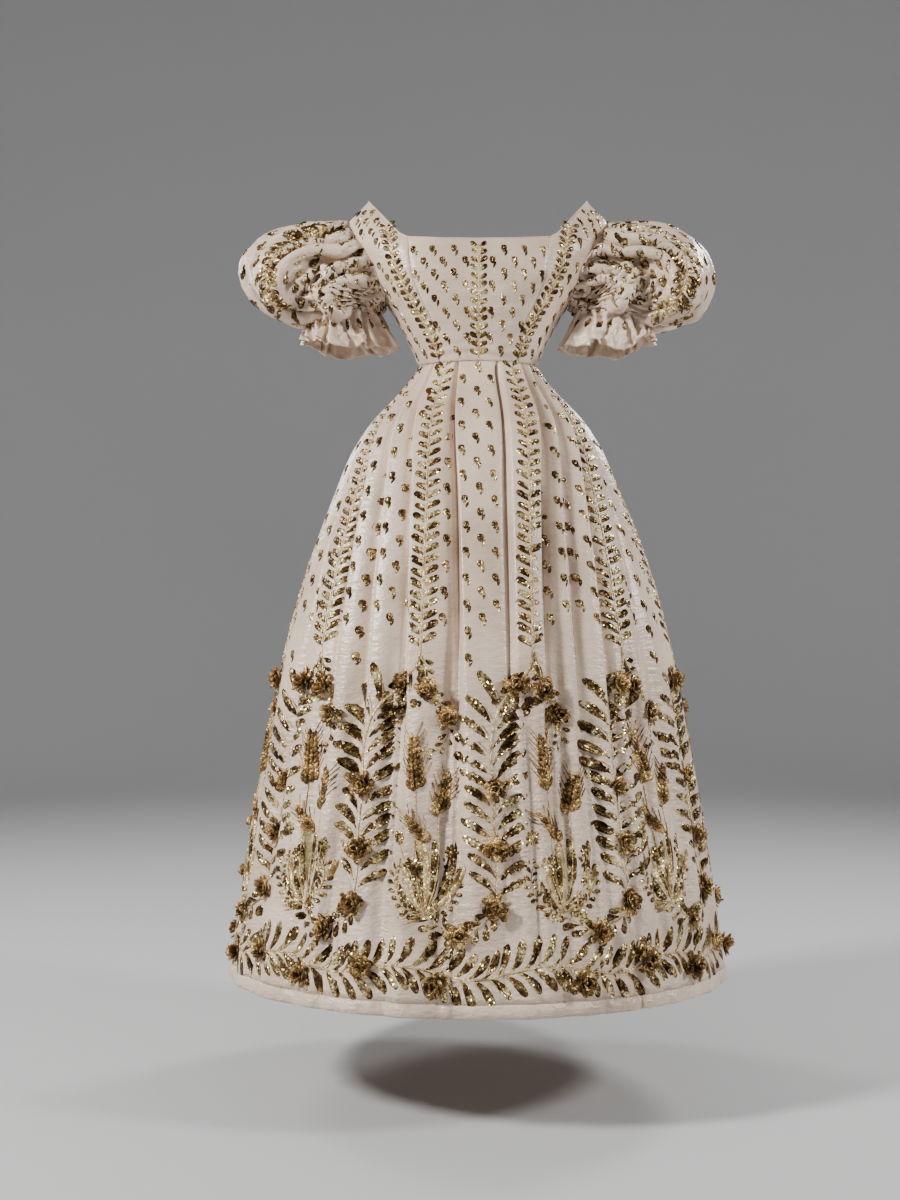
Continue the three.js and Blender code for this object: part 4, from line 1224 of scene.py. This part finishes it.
def make_hem_band():
    """The frond that runs round above the padded hem, towards the wearer's left."""
    angle = np.radians(np.linspace(-180, 180, 900))
    z = -971 + 9 * np.sin(BAYS * (angle - math.radians(6.5)))
    stem("hem_band_pale", SKIRT, angle, z, 4.0, 1.4)
    low = np.mod(-10 + BAY * np.arange(BAYS) + 180, 360) - 180
    for lean, length in ((32, 52), (-30, 50)):
        leaves("hem_band", SKIRT, angle, z, 22.5, lean, length, 15.5, start=4 + (lean < 0) * 9,
               bend=-0.44 * np.sign(lean), shape=LEAFLET, side=2, height=1.3)
        leaves("hem_band_pale", SKIRT, angle, z, 22.5, lean, length * 0.5, 2.0, start=(lean < 0) * 9,
               bend=-0.22 * np.sign(lean), shape=DROP, side=2, height=1.5)
    for turn in low:
        tufted_flower("hem_flowers", SKIRT, math.radians(turn), -990, 22, 17)
    for turn in low[1:]:
        tufted_flower("hem_flowers", SKIRT, math.radians(turn + BAY / 2), -966, 20, 15)


# ---- the bodice's and the sleeves' embroidery -----------------------------------------------------
# The side vine's way over the bodice, in mm from the centre front and above the waist.
BODICE_VINE = [(67, 5), (73, 25), (84, 50), (100, 80), (118, 112), (136, 150), (145, 180), (150, 205), (155, 229)]
# The vine over a puff: degrees round the sleeve, and rows of its sheet.
SLEEVE_VINE = [(12, 4), (30, 21), (48, 39), (60, 56), (70, 72)]


def small_vine(ground, u, v, spacing=13, leaf=(17, 8.5, 1.2), dot=(7, 6, 3), start=9, height=0.8):
    """A thin vine; leaves and dots are given by length, width and how far out they start."""
    stem("vines_pale", ground, u, v, 1.8, height)
    for lean in (50, -50):
        leaves("vines", ground, u, v, spacing, 0.8 * lean, *leaf[:2], start=3, side=leaf[2],
               bend=-0.2 * np.sign(lean))
        leaves("vines_pale", ground, u, v, spacing, 0.4 * lean, *dot[:2], start=start, shape=DOT, side=dot[2])


def bodice_sprig(x, height, back):
    """The angle of a sprig on the bodice, or None where it would meet an edge, a seam or a vine."""
    half = float(bodice_size("half", height))
    angle = x / (half * 0.84)
    if abs(x) > half * 1.32 or abs(angle) > math.pi / 2 - 0.06 or height > 264:
        return None
    reach = half * abs(math.sin(angle))
    if height + 17 > look_up(NECK_BACKS if back else NECK_FRONT, "x", "z", min(reach, 187), smooth=False):
        return None
    if UNDERARM - 12 < height < SHOULDER_END:
        edge = look_up(ARMHOLE, "z", "back" if back else "front", max(height, UNDERARM))
        if abs(math.degrees(angle)) > (180 - edge if back else edge) - 6:
            return None
    if back:
        return math.pi - angle
    vine_x, vine_z = zip(*BODICE_VINE)
    seam = look_up(FRONT_SEAM, "z", "x", min(height, 209))
    if abs(reach - np.interp(height, vine_z, vine_x)) < 15 or abs(x) < 14 or abs(reach - seam) < 5:
        return None
    return angle


def make_bodice_embroidery():
    z = np.linspace(6, 190, 40)
    small_vine(BODICE, 0.0 * z, z, spacing=14, start=10)
    x, z = curve(BODICE_VINE).T
    for side in (1, -1):
        small_vine(BODICE, side * bodice_angle(x, z), z)
    u, v = [], []
    for rank, height in enumerate(np.arange(12, 275, 20.5)):
        for column in range(-9, 10):
            for back in (False, True):
                angle = bodice_sprig(30 * column + 15 * (rank % 2), height, back)
                if angle is not None:
                    u.append(angle)
                    v.append(height)
    stamp_sprigs(BODICE, np.array(u), np.array(v), 0.95)


def make_sleeve_embroidery():
    for label in ("left", "right"):
        for kind, first, last, rise in (("puff", 6, 78, 5.5), ("frill", 3, 16, 9)):
            grid, turned_round = SLEEVE_SHEETS[f"sleeve_{kind}_{label}"]
            ground = grid_ground(grid, turned_round)
            columns = grid.shape[1]
            u, v = [], []
            for rank, row in enumerate(np.arange(first, last, rise)):
                count = 20 if 20 < row < 75 or kind == "frill" else 14
                for column in range(count):
                    u.append((column + 0.5 * (rank % 2)) * columns / count)
                    v.append(row)
            u, v = np.array(u), np.array(v)
            if kind == "puff":
                way_u, way_v = curve([(degrees / 360 * columns, row) for degrees, row in SLEEVE_VINE]).T
                clear = np.abs(u - np.interp(v, way_v, way_u)) > 6.5
                u, v = u[clear], v[clear]
                small_vine(ground, way_u, way_v, leaf=(21, 10.5, 1.5), dot=(8, 7.5, 4), height=0.9)
            stamp_sprigs(ground, u, v, 1.1 if kind == "puff" else 0.85, 180.0)


def make_embroidery():
    make_vines()
    stamp_sprigs(SKIRT, *sprig_places())
    for k in range(BAYS):
        make_frond(k)
        make_garlands(k)
        make_sheaf(k)
    make_hem_band()
    make_bodice_embroidery()
    make_sleeve_embroidery()
    nodes = {"frond_flowers": [f"frond_rosette_{index + 1:02d}" for index in range(BAYS)],
             "hem_flowers": [f"hem_rosette_{index + 1:02d}" for index in range(BAYS)]}
    for name, parts in BATCHES.items():
        offsets = np.cumsum([0] + [len(points) for points, faces in parts[:-1]])
        points = np.concatenate([points for points, faces in parts])
        faces = np.concatenate([part[1] + offset for part, offset in zip(parts, offsets)])
        dark = name == "ears" or name.endswith("_flowers")
        material = THREAD if name.endswith("_pale") else BULLION if dark else SEQUINS
        piece = new_piece(name, points, faces, material)
        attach(piece, "root")
        if name in nodes:
            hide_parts(*nodes[name])


make_embroidery()


# ---- camera, floor and light ----------------------------------------------------------------------
def make_camera():
    data = bpy.data.cameras.new("camera")
    data.sensor_width = 36
    data.lens = 51.2
    camera = bpy.data.objects.new("camera", data)
    camera.location = (-0.048, -2.94, -0.400)
    camera.rotation_euler = (math.pi / 2, 0, 0)
    bpy.context.scene.collection.objects.link(camera)
    bpy.context.scene.camera = camera


def make_light(name, place, aim, size, power, colour):
    data = bpy.data.lights.new(name, "AREA")
    data.shape = "DISK"
    data.size = size
    data.energy = power
    data.color = colour
    light = bpy.data.objects.new(name, data)
    light.location = place
    away = np.array(place) - np.array(aim)
    yaw = math.atan2(away[0], -away[1])
    pitch = math.atan2(np.hypot(away[0], away[1]), away[2])
    light.rotation_euler = (pitch, 0, yaw)
    bpy.context.scene.collection.objects.link(light)


def make_stage():
    """A grey floor that curves up all round, and an even grey light."""
    material, tree, shader = new_material("floor", {"Roughness": 0.85})
    grain = node(tree, "ShaderNodeTexNoise", Scale=3.0, Detail=2.0)
    ramp = colour_ramp(tree, (0, (0.52, 0.525, 0.535)), (1, (0.55, 0.555, 0.565)))
    join(tree, (grain, "Fac", ramp, "Fac"), (ramp, "Color", shader, "Base Color"))
    turns = np.linspace(0, math.pi / 2, 14)
    reach = [1, 1500, 3200, *(4600 + 2400 * np.sin(turns)), 7000]
    rise = [0, 0, 0, *(2400 - 2400 * np.cos(turns)), 7000]
    around = np.linspace(0, 2 * math.pi, 72, endpoint=False)
    points = [(far * math.cos(turn), far * math.sin(turn), FLOOR + z)
              for far, z in zip(reach, rise) for turn in around]
    floor = new_piece("floor", points, sheet_faces(len(reach), len(around), wrap=True)[:, ::-1], material)
    world = bpy.data.worlds.new("studio")
    bpy.context.scene.world = world
    world.use_nodes = True
    background = world.node_tree.nodes["Background"]
    background.inputs["Color"].default_value = (0.62, 0.63, 0.65, 1)
    background.inputs["Strength"].default_value = 0.2


make_camera()
make_stage()
make_light("key", (-2.6, -1.7, 1.4), (0, 0, -0.35), 0.6, 180, (1.0, 0.98, 0.95))
make_light("fill", (2.8, -1.2, 1.1), (0, 0, -0.35), 0.6, 84, (1.0, 0.985, 0.96))
make_light("back_left", (2.0, 2.0, 1.5), (0, 0, -0.3), 0.9, 62, (1.0, 0.99, 0.97))
make_light("back_right", (-2.2, 1.9, 1.2), (0, 0, -0.35), 0.9, 40, (1.0, 0.985, 0.96))
